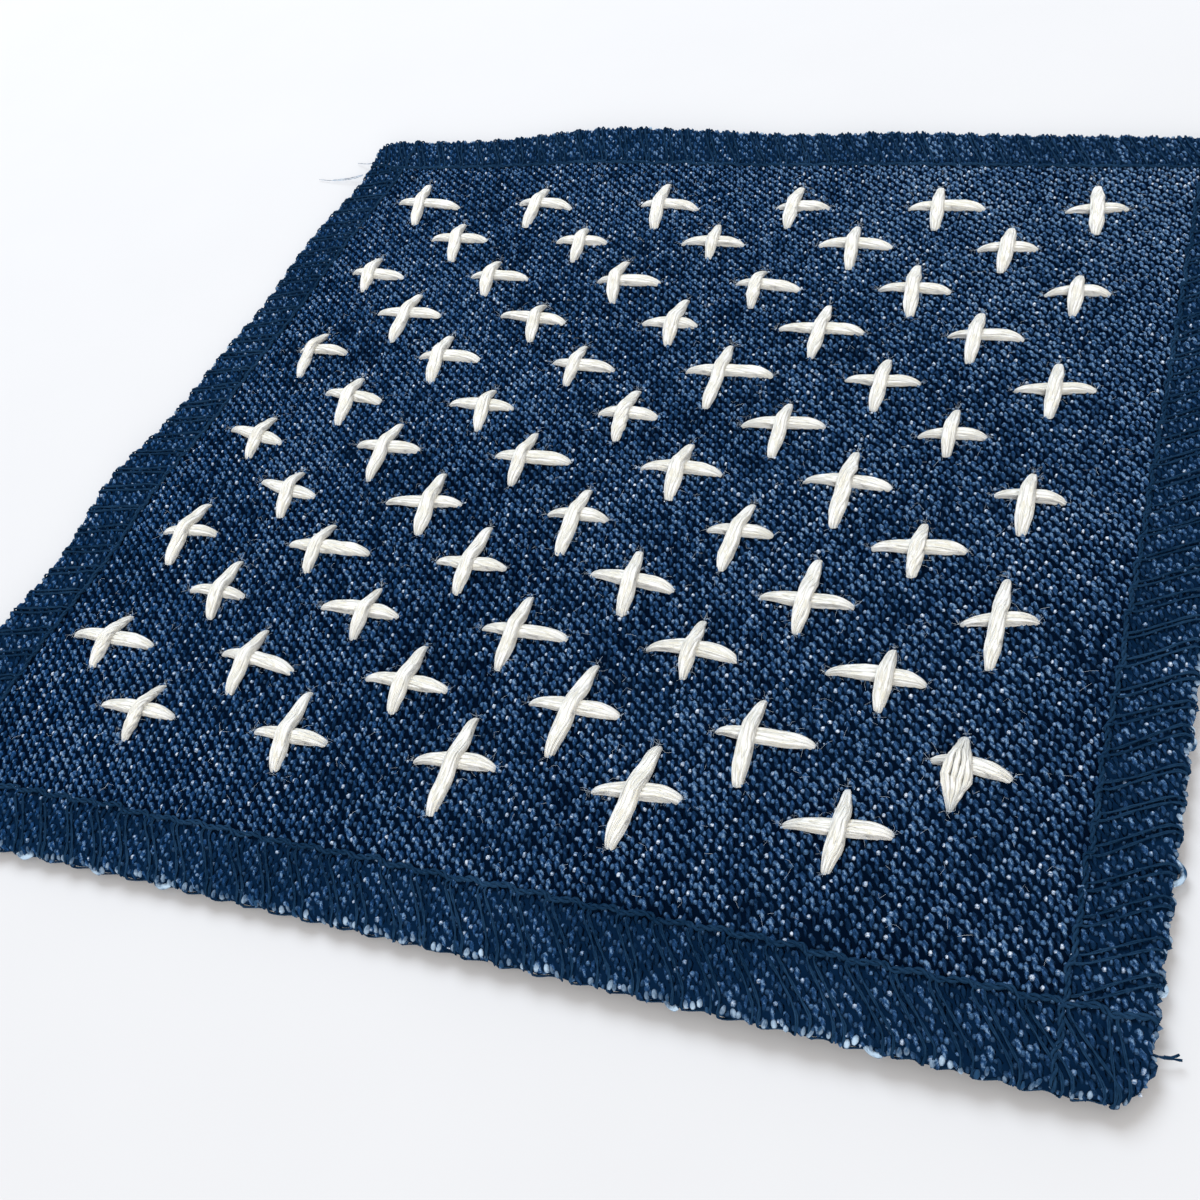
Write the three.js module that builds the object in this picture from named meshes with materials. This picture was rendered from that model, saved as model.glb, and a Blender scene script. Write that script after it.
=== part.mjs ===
import * as THREE from "three";
import { mergeVertices } from "three/addons/utils/BufferGeometryUtils.js";

// A square patch of navy twill denim that lies flat. Its cut edge is overlocked with navy thread, and
// twelve staggered rows of off-white plus stitches, six and five to a row, stand up on its face.
// Millimetres. X runs along the rows of stitches, Y from the last row to the first, Z up. The origin
// is on the surface that the patch lies on, under the middle of its outline.

// The cut square: its four sides, its rounded corners and the height of its face.
const cloth = { left: -49.3, right: 50.2, bottom: -51, top: 50.1, cornerRadius: 2.2, face: 1.45 };

// The overlocked edge is one leg of thread after another. The profile is read from under the edge,
// round the rim and in to where the band ends: how far in each line lies, how high it is on a leg and
// between two legs, and how far the cloth is drawn in between them.
const legPitch = 2.65;
const edgeProfile = [
  { line: "under the edge", inset: 0.75, onLeg: 0.15, betweenLegs: 0.3, drawnIn: 0.1 },
  { line: "rim", inset: 0, onLeg: 0.75, betweenLegs: 0.8, drawnIn: 0.35 },
  { line: "shoulder", inset: 0.55, onLeg: 1.5, betweenLegs: 1.25, drawnIn: 0.25 },
  { line: "foot of the needle line", inset: 4.75, onLeg: 1.35, betweenLegs: 1.2, drawnIn: 0 },
  { line: "needle line", inset: 5.2, onLeg: 1.7, betweenLegs: 1.8, drawnIn: 0 },
  { line: "end of the band", inset: 5.7, onLeg: 1.4, betweenLegs: 1.4, drawnIn: 0.15 },
];

// The underside is flat, and leaves the surface along a slightly wavy line under the band.
const underBand = { inset: 6, legsApart: 2, wavy: 0.3 };

// Where the edge waves: the side, the place along it, how far the wave spreads, how far it stands out
// of the straight side and how far it lifts off the surface. The waves die out towards the middle.
const waveReach = 14;
const edgeWaves = [
  { side: "left", at: 42, spread: 6, out: -1.1, up: 0.1 },
  { side: "left", at: 18, spread: 6, out: -0.5, up: 0 },
  { side: "left", at: -11, spread: 7, out: 0.9, up: 0.7 },
  { side: "left", at: -31, spread: 7, out: 0.5, up: 0.4 },
  { side: "top", at: -19, spread: 10, out: 0.9, up: 0.9 },
  { side: "top", at: -47, spread: 6, out: -0.3, up: 0.3 },
  { side: "top", at: 14, spread: 9, out: 0.2, up: 0.3 },
  { side: "top", at: 43, spread: 8, out: -0.5, up: 0.1 },
  { side: "right", at: 30, spread: 11, out: -0.2, up: 0.5 },
  { side: "right", at: -22, spread: 10, out: -0.1, up: 0.3 },
  { side: "bottom", at: -24, spread: 16, out: -0.1, up: 0.4 },
  { side: "bottom", at: 24, spread: 14, out: -0.1, up: 0.3 },
];

// The rows of plus stitches start at the top left. Every second row starts half a column further in.
const rows = { firstColumn: -37.4, firstRow: 37.3, columnPitch: 14.7, rowPitch: 6.725 };

// The sewing chart: a line for each row from the top, a letter for each plus stitch from left to right.
// across and upright are the two stitches' lengths. cross says if they meet left or right of the middle,
// and hang if the upright one reaches higher or lower. tilt and lean turn the two stitches. A dot is the
// even, plain stitch.
const chart = [
  { across: "tmmsls", upright: "lmlmml", cross: "lllll.", hang: ".L....", tilt: "ddd..u", lean: "B.b.bb" },
  { across: "msmls", upright: "mssmm", cross: ".....", hang: "LLH..", tilt: "....u", lean: "Bbbb." },
  { across: "mmmmms", upright: "ssmsls", cross: "llll..", hang: "...L..", tilt: "d..d.u", lean: "bbb.b." },
  { across: "llstm", upright: "lsmlm", cross: ".rr.l", hang: "LLH..", tilt: ".d...", lean: ".b..." },
  { across: "smmtmm", upright: "mmstmm", cross: "llll..", hang: "L..LL.", tilt: "..d..u", lean: ".b...." },
  { across: "mmsls", upright: "msmms", cross: ".r...", hang: "LL.LH", tilt: "d..uu", lean: "bb..." },
  { across: "mmllls", upright: "slmmtm", cross: "r.l...", hang: ".L..LL", tilt: "D.....", lean: "......" },
  { across: "mlssl", upright: "sllls", cross: "rr...", hang: "L.LL.", tilt: "Du..u", lean: "bb.f." },
  { across: "stmlls", upright: "lslmlt", cross: ".l....", hang: "..H.H.", tilt: "u..d.U", lean: "...b.." },
  { across: "sllll", upright: "mslss", cross: "rrl.r", hang: "H..H.", tilt: ".....", lean: "b...." },
  { across: "tlllls", upright: "smmtlw", cross: ".l..ll", hang: "..H.LL", tilt: ".d...d", lean: "f..f.." },
  { across: "lmmml", upright: "slttm", cross: "r....", hang: ".H...", tilt: "..uuu", lean: "fb.f." },
];
const acrossLength = { s: 5.6, m: 6.6, l: 7.4, t: 8.2 };
const uprightLength = { s: 6.1, m: 7.2, l: 8.1, t: 9.3, w: 6.7 };
const crossingShift = { l: -0.8, ".": 0, r: 0.8 };
const hangShift = { H: 0.6, ".": 0, L: -0.5 };
const turnDegrees = { D: -12, d: -6, ".": 0, u: 5, U: 12 };
const leanDegrees = { B: -12, b: -6, ".": -1, f: 4 };

// One stitch is a bundle of soft threads: half its width, and how high its crown stands on the face at
// the crossing and half way out. The upright stitch lies over the one across, and one of them is split
// and wide. The cloth rises a little between the stitches and sinks where they go in.
const bundle = { halfWidth: 0.72, wideHalfWidth: 1.05, crownShare: 0.5, crossingHeight: 1.15 };
const crownHeight = { across: 0.65, upright: 0.8 };
const crownAt = 0.55;
const swell = { betweenStitches: 0.12, atStitches: -0.03 };
const sewnField = { left: -42.9, right: 43.6, bottom: -44.2, top: 43.7 };

const middle = { x: (cloth.left + cloth.right) / 2, y: (cloth.bottom + cloth.top) / 2 };
const half = { x: (cloth.right - cloth.left) / 2, y: (cloth.top - cloth.bottom) / 2 };
const sides = {
  left: { out: [-1, 0], inset: (p) => p.x - cloth.left, along: (p) => p.y },
  right: { out: [1, 0], inset: (p) => cloth.right - p.x, along: (p) => p.y },
  bottom: { out: [0, -1], inset: (p) => p.y - cloth.bottom, along: (p) => p.x },
  top: { out: [0, 1], inset: (p) => cloth.top - p.y, along: (p) => p.x },
};

const triangleCorners = [];

// Moves a point of the even patch to where it lies on the uneven one.
function uneven(point) {
  const moved = point.clone();
  for (const wave of edgeWaves) {
    const side = sides[wave.side];
    const near = Math.max(0, 1 - Math.max(0, side.inset(point)) / waveReach) ** 2;
    const share = near * Math.exp(-(((side.along(point) - wave.at) / wave.spread) ** 2));
    moved.x += side.out[0] * wave.out * share;
    moved.y += side.out[1] * wave.out * share;
    moved.z += wave.up * share;
  }
  return moved;
}

function addTriangle(a, b, c) {
  for (const point of [a, b, c]) {
    triangleCorners.push(...uneven(point).toArray());
  }
}

// Fills the flat space between an outline and the holes in it, with its faces up (1) or down (-1).
function fill(outline, holes, facing) {
  const points = [outline, ...holes].flat();
  const plan = (ring) => ring.map((point) => new THREE.Vector2(point.x, point.y));
  for (const [i, j, k] of THREE.ShapeUtils.triangulateShape(plan(outline), holes.map(plan))) {
    const [a, b, c] = [points[i], points[j], points[k]];
    const turn = (b.x - a.x) * (c.y - a.y) - (b.y - a.y) * (c.x - a.x);
    if (turn * facing > 0) {
      addTriangle(a, b, c);
    } else {
      addTriangle(a, c, b);
    }
  }
}

// Joins two rings of the edge, the second one further round towards the middle of the face.
function joinRings(outer, inner) {
  outer.forEach((point, i) => {
    const next = (i + 1) % outer.length;
    addTriangle(point, outer[next], inner[next]);
    addTriangle(point, inner[next], inner[i]);
  });
}

// The patch's outline, with one point on each leg of the overlock and one between each two.
function outlinePoints() {
  const { left, right, bottom, top, cornerRadius: r } = cloth;
  const path = new THREE.Path();
  path.moveTo(left + r, bottom);
  path.lineTo(right - r, bottom);
  path.absarc(right - r, bottom + r, r, -Math.PI / 2, 0);
  path.absarc(right - r, top - r, r, 0, Math.PI / 2);
  path.absarc(left + r, top - r, r, Math.PI / 2, Math.PI);
  path.absarc(left + r, bottom + r, r, Math.PI, 1.5 * Math.PI);
  const legs = Math.round(path.getLength() / legPitch);
  return path.getSpacedPoints(2 * legs).slice(0, -1);
}

// The outline moved in by an inset, at a height.
function inwards(point, inset, z) {
  const x = middle.x + (point.x - middle.x) * (1 - inset / half.x);
  const y = middle.y + (point.y - middle.y) * (1 - inset / half.y);
  return new THREE.Vector3(x, y, z);
}

function addEdge() {
  const outline = outlinePoints();
  const rings = edgeProfile.map((line) =>
    outline.map((point, i) => {
      const onLeg = i % 2 === 0;
      return inwards(point, line.inset + (onLeg ? 0 : line.drawnIn), onLeg ? line.onLeg : line.betweenLegs);
    }),
  );
  for (let i = 1; i < rings.length; i += 1) {
    joinRings(rings[i - 1], rings[i]);
  }
  const foot = outline
    .filter((_, i) => i % (2 * underBand.legsApart) === 0)
    .map((point, i) => inwards(point, underBand.inset + (i % 2) * underBand.wavy, 0));
  const rest = [
    new THREE.Vector3(cloth.left + waveReach, cloth.bottom + waveReach, 0),
    new THREE.Vector3(cloth.right - waveReach, cloth.bottom + waveReach, 0),
    new THREE.Vector3(cloth.right - waveReach, cloth.top - waveReach, 0),
    new THREE.Vector3(cloth.left + waveReach, cloth.top - waveReach, 0),
  ];
  fill(rings[0], [foot], -1);
  fill(foot, [rest], -1);
  fill(rest, [], -1);
  return rings.at(-1);
}

// Reads the chart: the middle, arms and turns of each plus stitch.
function plusStitches() {
  return chart.flatMap((line, rowNumber) =>
    [...line.across].map((size, place) => {
      const indent = rowNumber % 2 === 0 ? 0 : rows.columnPitch / 2;
      const upright = line.upright[place];
      const shift = crossingShift[line.cross[place]];
      const hang = hangShift[line.hang[place]];
      return {
        x: rows.firstColumn + indent + place * rows.columnPitch,
        y: rows.firstRow - rowNumber * rows.rowPitch,
        crossing: shift / 2,
        right: acrossLength[size] / 2 - shift,
        left: acrossLength[size] / 2 + shift,
        up: uprightLength[upright] / 2 + hang,
        down: uprightLength[upright] / 2 - hang,
        tilt: THREE.MathUtils.degToRad(turnDegrees[line.tilt[place]]),
        lean: THREE.MathUtils.degToRad(leanDegrees[line.lean[place]]),
        uprightHalfWidth: upright === "w" ? bundle.wideHalfWidth : bundle.halfWidth,
      };
    }),
  );
}

// Raises one plus stitch and returns its outline on the face, counterclockwise from the right arm.
function addPlus(stitch) {
  const low = cloth.face + swell.atStitches;
  const alongRow = new THREE.Vector2(Math.cos(stitch.tilt), Math.sin(stitch.tilt));
  const upRow = new THREE.Vector2(Math.sin(stitch.lean), Math.cos(stitch.lean));
  const at = (u, v, z) =>
    new THREE.Vector3(
      stitch.x + stitch.crossing + alongRow.x * u + upRow.x * v,
      stitch.y + alongRow.y * u + upRow.y * v,
      z,
    );
  const arms = [
    { u: 1, v: 0, length: stitch.right, wide: bundle.halfWidth, crown: crownHeight.across },
    { u: 0, v: 1, length: stitch.up, wide: stitch.uprightHalfWidth, crown: crownHeight.upright },
    { u: -1, v: 0, length: stitch.left, wide: bundle.halfWidth, crown: crownHeight.across },
    { u: 0, v: -1, length: stitch.down, wide: stitch.uprightHalfWidth, crown: crownHeight.upright },
  ];
  const outline = [];
  const crown = [];
  arms.forEach((arm, i) => {
    const before = arms[(i + 3) % 4];
    const after = arms[(i + 1) % 4];
    const on = (along, aside, z) => at(arm.u * along - arm.v * aside, arm.v * along + arm.u * aside, z);
    const rightRoot = on(before.wide, -arm.wide, low);
    const leftRoot = on(after.wide, arm.wide, low);
    const rightSide = on(arm.length * crownAt, -arm.wide, low);
    const leftSide = on(arm.length * crownAt, arm.wide, low);
    const tip = on(arm.length, 0, low);
    const aside = arm.wide * bundle.crownShare;
    const top = cloth.face + arm.crown;
    const peak = cloth.face + bundle.crossingHeight;
    const rightCrown = on(arm.length * crownAt, -aside, top);
    const leftCrown = on(arm.length * crownAt, aside, top);
    const rightPeak = on(before.wide * bundle.crownShare, -aside, peak);
    const leftPeak = on(after.wide * bundle.crownShare, aside, peak);
    addTriangle(rightRoot, rightSide, rightCrown);
    addTriangle(rightRoot, rightCrown, rightPeak);
    addTriangle(rightSide, tip, rightCrown);
    addTriangle(rightCrown, tip, leftCrown);
    addTriangle(leftCrown, tip, leftSide);
    addTriangle(leftRoot, leftCrown, leftSide);
    addTriangle(leftRoot, leftPeak, leftCrown);
    addTriangle(rightPeak, rightCrown, leftCrown);
    addTriangle(rightPeak, leftCrown, leftPeak);
    outline.push(rightRoot, rightSide, tip, leftSide);
    crown.push(rightPeak);
  });
  addTriangle(crown[0], crown[1], crown[2]);
  addTriangle(crown[0], crown[2], crown[3]);
  return outline;
}

// The face around each plus stitch is a diamond whose corners lie midway between its neighbours.
function diamond(stitch) {
  const reach = [
    [rows.columnPitch / 2, 0],
    [0, rows.rowPitch],
    [-rows.columnPitch / 2, 0],
    [0, -rows.rowPitch],
  ];
  const high = cloth.face + swell.betweenStitches;
  return reach.map(([x, y]) => {
    const cornerX = THREE.MathUtils.clamp(stitch.x + x, sewnField.left, sewnField.right);
    const cornerY = THREE.MathUtils.clamp(stitch.y + y, sewnField.bottom, sewnField.top);
    return new THREE.Vector3(cornerX, cornerY, high);
  });
}

// Follows the diamonds' sides that only one diamond has, once round the sewn field.
function fieldOutline(diamonds) {
  const key = (point) => `${point.x.toFixed(3)} ${point.y.toFixed(3)}`;
  const ways = new Map();
  for (const corners of diamonds) {
    corners.forEach((corner, i) => {
      const next = corners[(i + 1) % 4];
      ways.set(`${key(corner)} to ${key(next)}`, [corner, next]);
    });
  }
  const nextCorner = new Map();
  for (const [corner, next] of ways.values()) {
    if (!ways.has(`${key(next)} to ${key(corner)}`)) {
      nextCorner.set(key(corner), next);
    }
  }
  const outline = [nextCorner.values().next().value];
  while (outline.length < nextCorner.size) {
    outline.push(nextCorner.get(key(outline.at(-1))));
  }
  return outline;
}

function addFace(bandEnd) {
  const diamonds = plusStitches().map((stitch) => {
    const corners = diamond(stitch);
    fill(corners, [addPlus(stitch)], 1);
    return corners;
  });
  fill(bandEnd, [fieldOutline(diamonds)], 1);
}

function patchGeometry() {
  addFace(addEdge());
  const loose = new THREE.BufferGeometry();
  loose.setAttribute("position", new THREE.Float32BufferAttribute(triangleCorners, 3));
  const geometry = mergeVertices(loose, 0.001);
  geometry.computeVertexNormals();
  return geometry;
}

const denim = new THREE.MeshStandardMaterial({ color: 0x20355a, roughness: 0.92, metalness: 0 });
const patch = new THREE.Mesh(patchGeometry(), denim);
patch.name = "denim_patch";

const part = new THREE.Group();
part.add(patch);

export default part;
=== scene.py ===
# %% [markdown]
# # A denim patch with rows of plus stitches
# The real thing is a square cut from jeans cloth. Its cut edge is overlocked with navy thread, and its
# face is sewn with 66 off-white plus stitches in staggered rows. It is nearly flat, so everything that
# the eye enjoys is small: the twill's yarns, the threads' plies, the strands of each stitch.
# Those are modelled as real meshes, because a bump map looks printed once the camera comes this close.

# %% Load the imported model
import math
from collections import namedtuple

import bpy
import numpy as np
from mathutils import Matrix, Vector


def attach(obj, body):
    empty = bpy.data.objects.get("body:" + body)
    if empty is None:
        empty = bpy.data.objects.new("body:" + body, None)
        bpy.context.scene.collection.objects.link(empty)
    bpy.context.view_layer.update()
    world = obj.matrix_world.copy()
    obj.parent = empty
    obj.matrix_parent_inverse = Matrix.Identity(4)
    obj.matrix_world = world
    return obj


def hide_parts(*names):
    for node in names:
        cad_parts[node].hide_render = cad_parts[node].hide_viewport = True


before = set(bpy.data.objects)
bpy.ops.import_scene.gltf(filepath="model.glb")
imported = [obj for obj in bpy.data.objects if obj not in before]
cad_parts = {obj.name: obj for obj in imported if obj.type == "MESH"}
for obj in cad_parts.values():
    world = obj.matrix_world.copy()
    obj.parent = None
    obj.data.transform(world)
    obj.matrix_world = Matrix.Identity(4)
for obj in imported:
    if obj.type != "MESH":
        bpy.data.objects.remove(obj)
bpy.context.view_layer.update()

MM = 0.001

# %% [markdown]
# ## Camera, floor and light
# The picture looks down on the patch from its near right corner with the camera turned a little, so the
# rows run downhill. A camera is easiest to read as a place, a point that it looks at and a turn about its
# own axis. The floor and the room are nearly white. A small soft light stands behind the patch on the left
# and puts a thin shadow under the near edge. A large one, far off in front on the right, fills the rest.

# %% Camera
view_from = Vector((50.90, -91.62, 86.30)) * MM
view_to = Vector((4.85, -18.82, 1.50)) * MM
camera_turn = math.radians(-17.24)
camera_data = bpy.data.cameras.new("camera")
camera_data.lens = 44.8
camera_data.sensor_width = 36
camera_data.clip_start = 0.005
camera = bpy.data.objects.new("camera", camera_data)
look = (view_from - view_to).to_track_quat("Z", "Y").to_matrix().to_4x4()
camera.matrix_world = Matrix.Translation(view_from) @ look @ Matrix.Rotation(camera_turn, 4, "Z")
bpy.context.scene.collection.objects.link(camera)
bpy.context.scene.camera = camera
bpy.context.scene.view_settings.view_transform = "Standard"
print("camera at", [round(v, 4) for v in camera.matrix_world.translation])

# %% Helpers for finishes
def new_material(name, roughness, specular):
    """A material with one principled shader, whose plain numbers sit on its own sockets."""
    material = bpy.data.materials.new(name)
    material.use_nodes = True
    shader = material.node_tree.nodes["Principled BSDF"]
    shader.inputs["Roughness"].default_value = roughness
    shader.inputs["Specular IOR Level"].default_value = specular
    return material, material.node_tree, shader


def put(tree, kind, inputs=None, **settings):
    """Adds a node, sets its options, and links or sets its inputs by name, identifier or number."""
    node = tree.nodes.new(kind)
    for name, value in settings.items():
        setattr(node, name, value)
    for key, value in (inputs or {}).items():
        sockets = [s for s in node.inputs if s.enabled and key in (s.identifier, s.name)]
        socket = node.inputs[key] if isinstance(key, int) else sockets[0]
        if isinstance(value, bpy.types.NodeSocket):
            tree.links.new(value, socket)
        else:
            socket.default_value = value
    return node


def calc(tree, operation, *values, clamp=False):
    """One step of arithmetic, in a material or in a geometry tree."""
    inputs = dict(enumerate(values))
    return put(tree, "ShaderNodeMath", inputs, operation=operation, use_clamp=clamp).outputs[0]


def vcalc(tree, operation, *values):
    """One step of vector arithmetic. Its number output serves lengths and dot products."""
    node = put(tree, "ShaderNodeVectorMath", dict(enumerate(values)), operation=operation)
    return node.outputs[1] if operation in ("LENGTH", "DOT_PRODUCT") else node.outputs[0]


def scaled(tree, vector, by):
    return put(tree, "ShaderNodeVectorMath", {0: vector, "Scale": by}, operation="SCALE").outputs[0]


def joined(tree, x=0.0, y=0.0, z=0.0):
    """Three numbers as one vector."""
    return put(tree, "ShaderNodeCombineXYZ", {"X": x, "Y": y, "Z": z}).outputs[0]


def blend_colours(tree, share, low, high):
    """Mixes two colours. Each is a colour or a socket."""
    node = put(tree, "ShaderNodeMix", data_type="RGBA", clamp_factor=True)
    for socket, value in ((node.inputs[0], share), (node.inputs[6], low), (node.inputs[7], high)):
        if isinstance(value, bpy.types.NodeSocket):
            tree.links.new(value, socket)
        else:
            socket.default_value = (*value, 1) if isinstance(value, tuple) else value
    return node.outputs[2]


def noise(tree, coordinates, scale, detail=2.0, roughness=0.5):
    inputs = {"Vector": coordinates, "Scale": scale, "Detail": detail, "Roughness": roughness}
    return put(tree, "ShaderNodeTexNoise", inputs).outputs["Fac"]


def own_place(tree):
    """The object's own coordinates, in metres."""
    return put(tree, "ShaderNodeTexCoord").outputs["Object"]


def stretched(tree, scale):
    """The object's own coordinates, with each axis scaled by its own number."""
    inputs = {"Vector": own_place(tree), "Scale": scale}
    return put(tree, "ShaderNodeMapping", inputs).outputs["Vector"]


def mottle(tree, scale, detail=2.0):
    """Cloudy noise, the same in every direction."""
    return noise(tree, stretched(tree, (1, 1, 1)), scale, detail)


def carried(tree, name):
    """A number that the mesh carries on its points."""
    return put(tree, "ShaderNodeAttribute", attribute_name=name).outputs["Fac"]


def paint(tree, shader, colour):
    tree.links.new(colour, shader.inputs["Base Color"])


def rough_up(tree, shader, height, depth):
    """Turns a height into bumps, depth in metres."""
    bump = put(tree, "ShaderNodeBump", {"Height": height, "Distance": depth})
    tree.links.new(bump.outputs["Normal"], shader.inputs["Normal"])

# %% Floor and light
def make_floor(reach=1.5):
    mesh = bpy.data.meshes.new("floor")
    corners = [(-reach, -reach, 0), (reach, -reach, 0), (reach, reach, 0), (-reach, reach, 0)]
    mesh.from_pydata(corners, [], [(0, 1, 2, 3)])
    floor = bpy.data.objects.new("floor", mesh)
    bpy.context.scene.collection.objects.link(floor)
    material, tree, shader = new_material("pale_floor", 0.9, 0.1)
    paint(tree, shader, blend_colours(tree, mottle(tree, 60), (0.672, 0.672, 0.692), (0.692, 0.692, 0.712)))
    mesh.materials.append(material)


def soft_light(name, place, size, power, colour):
    """A round lamp that looks at the middle of the patch."""
    data = bpy.data.lights.new(name, "AREA")
    data.shape = "DISK"
    data.size = size
    data.energy = power
    data.color = colour
    light = bpy.data.objects.new(name, data)
    aim = Vector(place).to_track_quat("Z", "Y").to_matrix().to_4x4()
    light.matrix_world = Matrix.Translation(place) @ aim
    bpy.context.scene.collection.objects.link(light)


room = bpy.data.worlds.new("room")
room.use_nodes = True
room.node_tree.nodes["Background"].inputs["Color"].default_value = (1.0, 0.972, 0.930, 1)
room.node_tree.nodes["Background"].inputs["Strength"].default_value = 0.60
bpy.context.scene.world = room
make_floor()
soft_light("window", place=(-0.34, 0.48, 0.74), size=0.60, power=6.9, colour=(0.84, 0.92, 1.0))
soft_light("fill", place=(0.9, -1.9, 0.95), size=1.4, power=38.0, colour=(1.0, 0.975, 0.93))
print("floor and light ready")

# %% [markdown]
# ## The even patch, and how it lies
# Sewing is easiest to lay out on an even, flat patch: millimetres across and along, and height above the
# cloth's face. One function then lays any point of that plan where it belongs. It wraps what runs past
# the cut edge round the rim and under the cloth, lifts the rest to the height of the face, and adds the
# waves of the edge. Every mesh below goes through it, so cloth, yarns and threads stay together.

# %% Sizes of the patch
LEFT, RIGHT, BOTTOM, TOP = -49.3, 50.2, -51.0, 50.1
CORNER = 2.2
MIDDLE = ((LEFT + RIGHT) / 2, (BOTTOM + TOP) / 2)
HALF = ((RIGHT - LEFT) / 2, (TOP - BOTTOM) / 2)
RIM_ROUND = 0.62
NEEDLE_INSET = 5.2
LEG_PITCH = 2.65

# The first pair of legs stands this share of a pitch into each side.
LEG_START = 0.1

# Each side was overlocked by itself: where its run starts, the way it goes, the way in from the edge,
# its length, and how its legs slant.
Side = namedtuple("Side", "name start way inwards length slant")
SIDES = [
    Side("bottom", (LEFT, BOTTOM), (1, 0), (0, 1), RIGHT - LEFT, 0.58),
    Side("right", (RIGHT, BOTTOM), (0, 1), (-1, 0), TOP - BOTTOM, 0.42),
    Side("top", (RIGHT, TOP), (-1, 0), (0, -1), RIGHT - LEFT, 0.40),
    Side("left", (LEFT, TOP), (0, -1), (1, 0), TOP - BOTTOM, 0.26),
]

# How high the face stands at each distance in from the rim: the band is pressed by its threads.
BAND_INSETS = (0.0, 0.62, 1.4, 2.6, 4.3, 4.95, 5.5, 6.4, 8.5)
BAND_HEIGHTS = (1.34, 1.38, 1.36, 1.28, 1.20, 1.12, 1.22, 1.40, 1.45)

# Each pair of legs presses the band by the pucker and pushes the rim out by the scallop. Both fade out
# over their reach.
PUCKER, PUCKER_REACH = 0.05, 1.5
SCALLOP, SCALLOP_REACH = 0.13, 1.6

# Each stitch pulls the cloth down where it ends, and leaves low swells between.
DIP_DEPTH, DIP_WIDTH, DIP_REACH = 0.16, 0.75, 2.2
SWELL = 0.05

# The underside leaves the floor under the band.
UNDER_INSETS = (0.0, 0.7, 3.0, 5.2, 6.4)
UNDER_HEIGHTS = (0.30, 0.26, 0.20, 0.12, 0.0)
UNDER_BLEND = 0.8

# The edge waves fade out over this reach. Columns: side, place along it, spread, how far out, how far up.
WAVE_REACH = 14.0
EDGE_WAVES = [
    ("left", 42, 6, -1.1, 0.1),
    ("left", 18, 6, -0.5, 0.0),
    ("left", -11, 7, 0.9, 0.7),
    ("left", -31, 7, 0.5, 0.4),
    ("top", -19, 10, 0.9, 0.9),
    ("top", -47, 6, -0.3, 0.3),
    ("top", 0, 60, 0.4, 0.55),
    ("top", -6, 8, 0.3, 0.4),
    ("top", 14, 9, 0.2, 0.3),
    ("top", 43, 8, -0.5, 0.1),
    ("right", 30, 11, -0.2, 0.5),
    ("right", -22, 10, -0.1, 0.3),
    ("bottom", -24, 16, -0.1, 0.2),
    ("bottom", 29, 25, 0.55, 0.65),
    ("bottom", 46, 11, 0.25, 0.0),
]

# %% Helpers that lay points of the even patch
def from_rim(x, y):
    """How far in from the cut edge, and the way out of it."""
    past_x = np.abs(x - MIDDLE[0]) - (HALF[0] - CORNER)
    past_y = np.abs(y - MIDDLE[1]) - (HALF[1] - CORNER)
    in_corner = (past_x > 0) & (past_y > 0)
    radius = np.hypot(past_x, past_y)
    inset = CORNER - np.where(in_corner, radius, np.maximum(past_x, past_y))
    radius = np.maximum(radius, 1e-9)
    out_x = np.where(in_corner, past_x / radius, past_x >= past_y) * np.sign(x - MIDDLE[0])
    out_y = np.where(in_corner, past_y / radius, past_x < past_y) * np.sign(y - MIDDLE[1])
    return inset, out_x, out_y


def legs_of(side):
    """How many pairs of legs a side has, and how far apart they are."""
    count = round(side.length / LEG_PITCH)
    return count, side.length / count


def leg_wave(x, y):
    """Where a point lies between two pairs of overlock legs: 1 at a pair, -1 half way to the next."""
    waves, insets = [], []
    for side in SIDES:
        from_x, from_y = x - side.start[0], y - side.start[1]
        along = from_x * side.way[0] + from_y * side.way[1]
        inset = from_x * side.inwards[0] + from_y * side.inwards[1]
        pairs = (along - side.slant * (NEEDLE_INSET - inset)) / side.length * legs_of(side)[0]
        waves.append(np.cos(2 * math.pi * (pairs - LEG_START)))
        insets.append(inset)
    nearest = np.argmin(insets, axis=0)
    return np.take_along_axis(np.array(waves), nearest[None], axis=0)[0]


def face_height(x, y, inset):
    """How high the face stands: the band, its puckers, the swells, and a dip at each stitch's end."""
    height = np.interp(inset, BAND_INSETS, BAND_HEIGHTS)
    height = height - PUCKER * leg_wave(x, y) * np.clip((NEEDLE_INSET - inset) / PUCKER_REACH, 0, 1)
    sewn = np.clip((inset - 6.5) / 3, 0, 1)
    height = height + sewn * SWELL * np.sin(0.83 * x + 0.4) * np.sin(0.71 * y + 1.1)
    for end_x, end_y in stitch_ends:
        near = (np.abs(x - end_x) < DIP_REACH) & (np.abs(y - end_y) < DIP_REACH)
        away = ((x[near] - end_x) ** 2 + (y[near] - end_y) ** 2) / DIP_WIDTH**2
        height[near] -= DIP_DEPTH * np.exp(-away)
    return height


def edge_waves(x, y):
    """How far the waves of the edge move each point: in x, in y and up."""
    move = np.zeros((3, len(x)))
    for side, at, spread, out, up in EDGE_WAVES:
        inset = {"left": x - LEFT, "right": RIGHT - x, "bottom": y - BOTTOM, "top": TOP - y}[side]
        along = y if side in ("left", "right") else x
        near = np.clip(1 - np.maximum(0, inset) / WAVE_REACH, 0, None) ** 2
        share = near * np.exp(-(((along - at) / spread) ** 2))
        axis, sign = {"left": (0, -1), "right": (0, 1), "bottom": (1, -1), "top": (1, 1)}[side]
        move[axis] += sign * out * share
        move[2] += up * share
    return move


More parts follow.
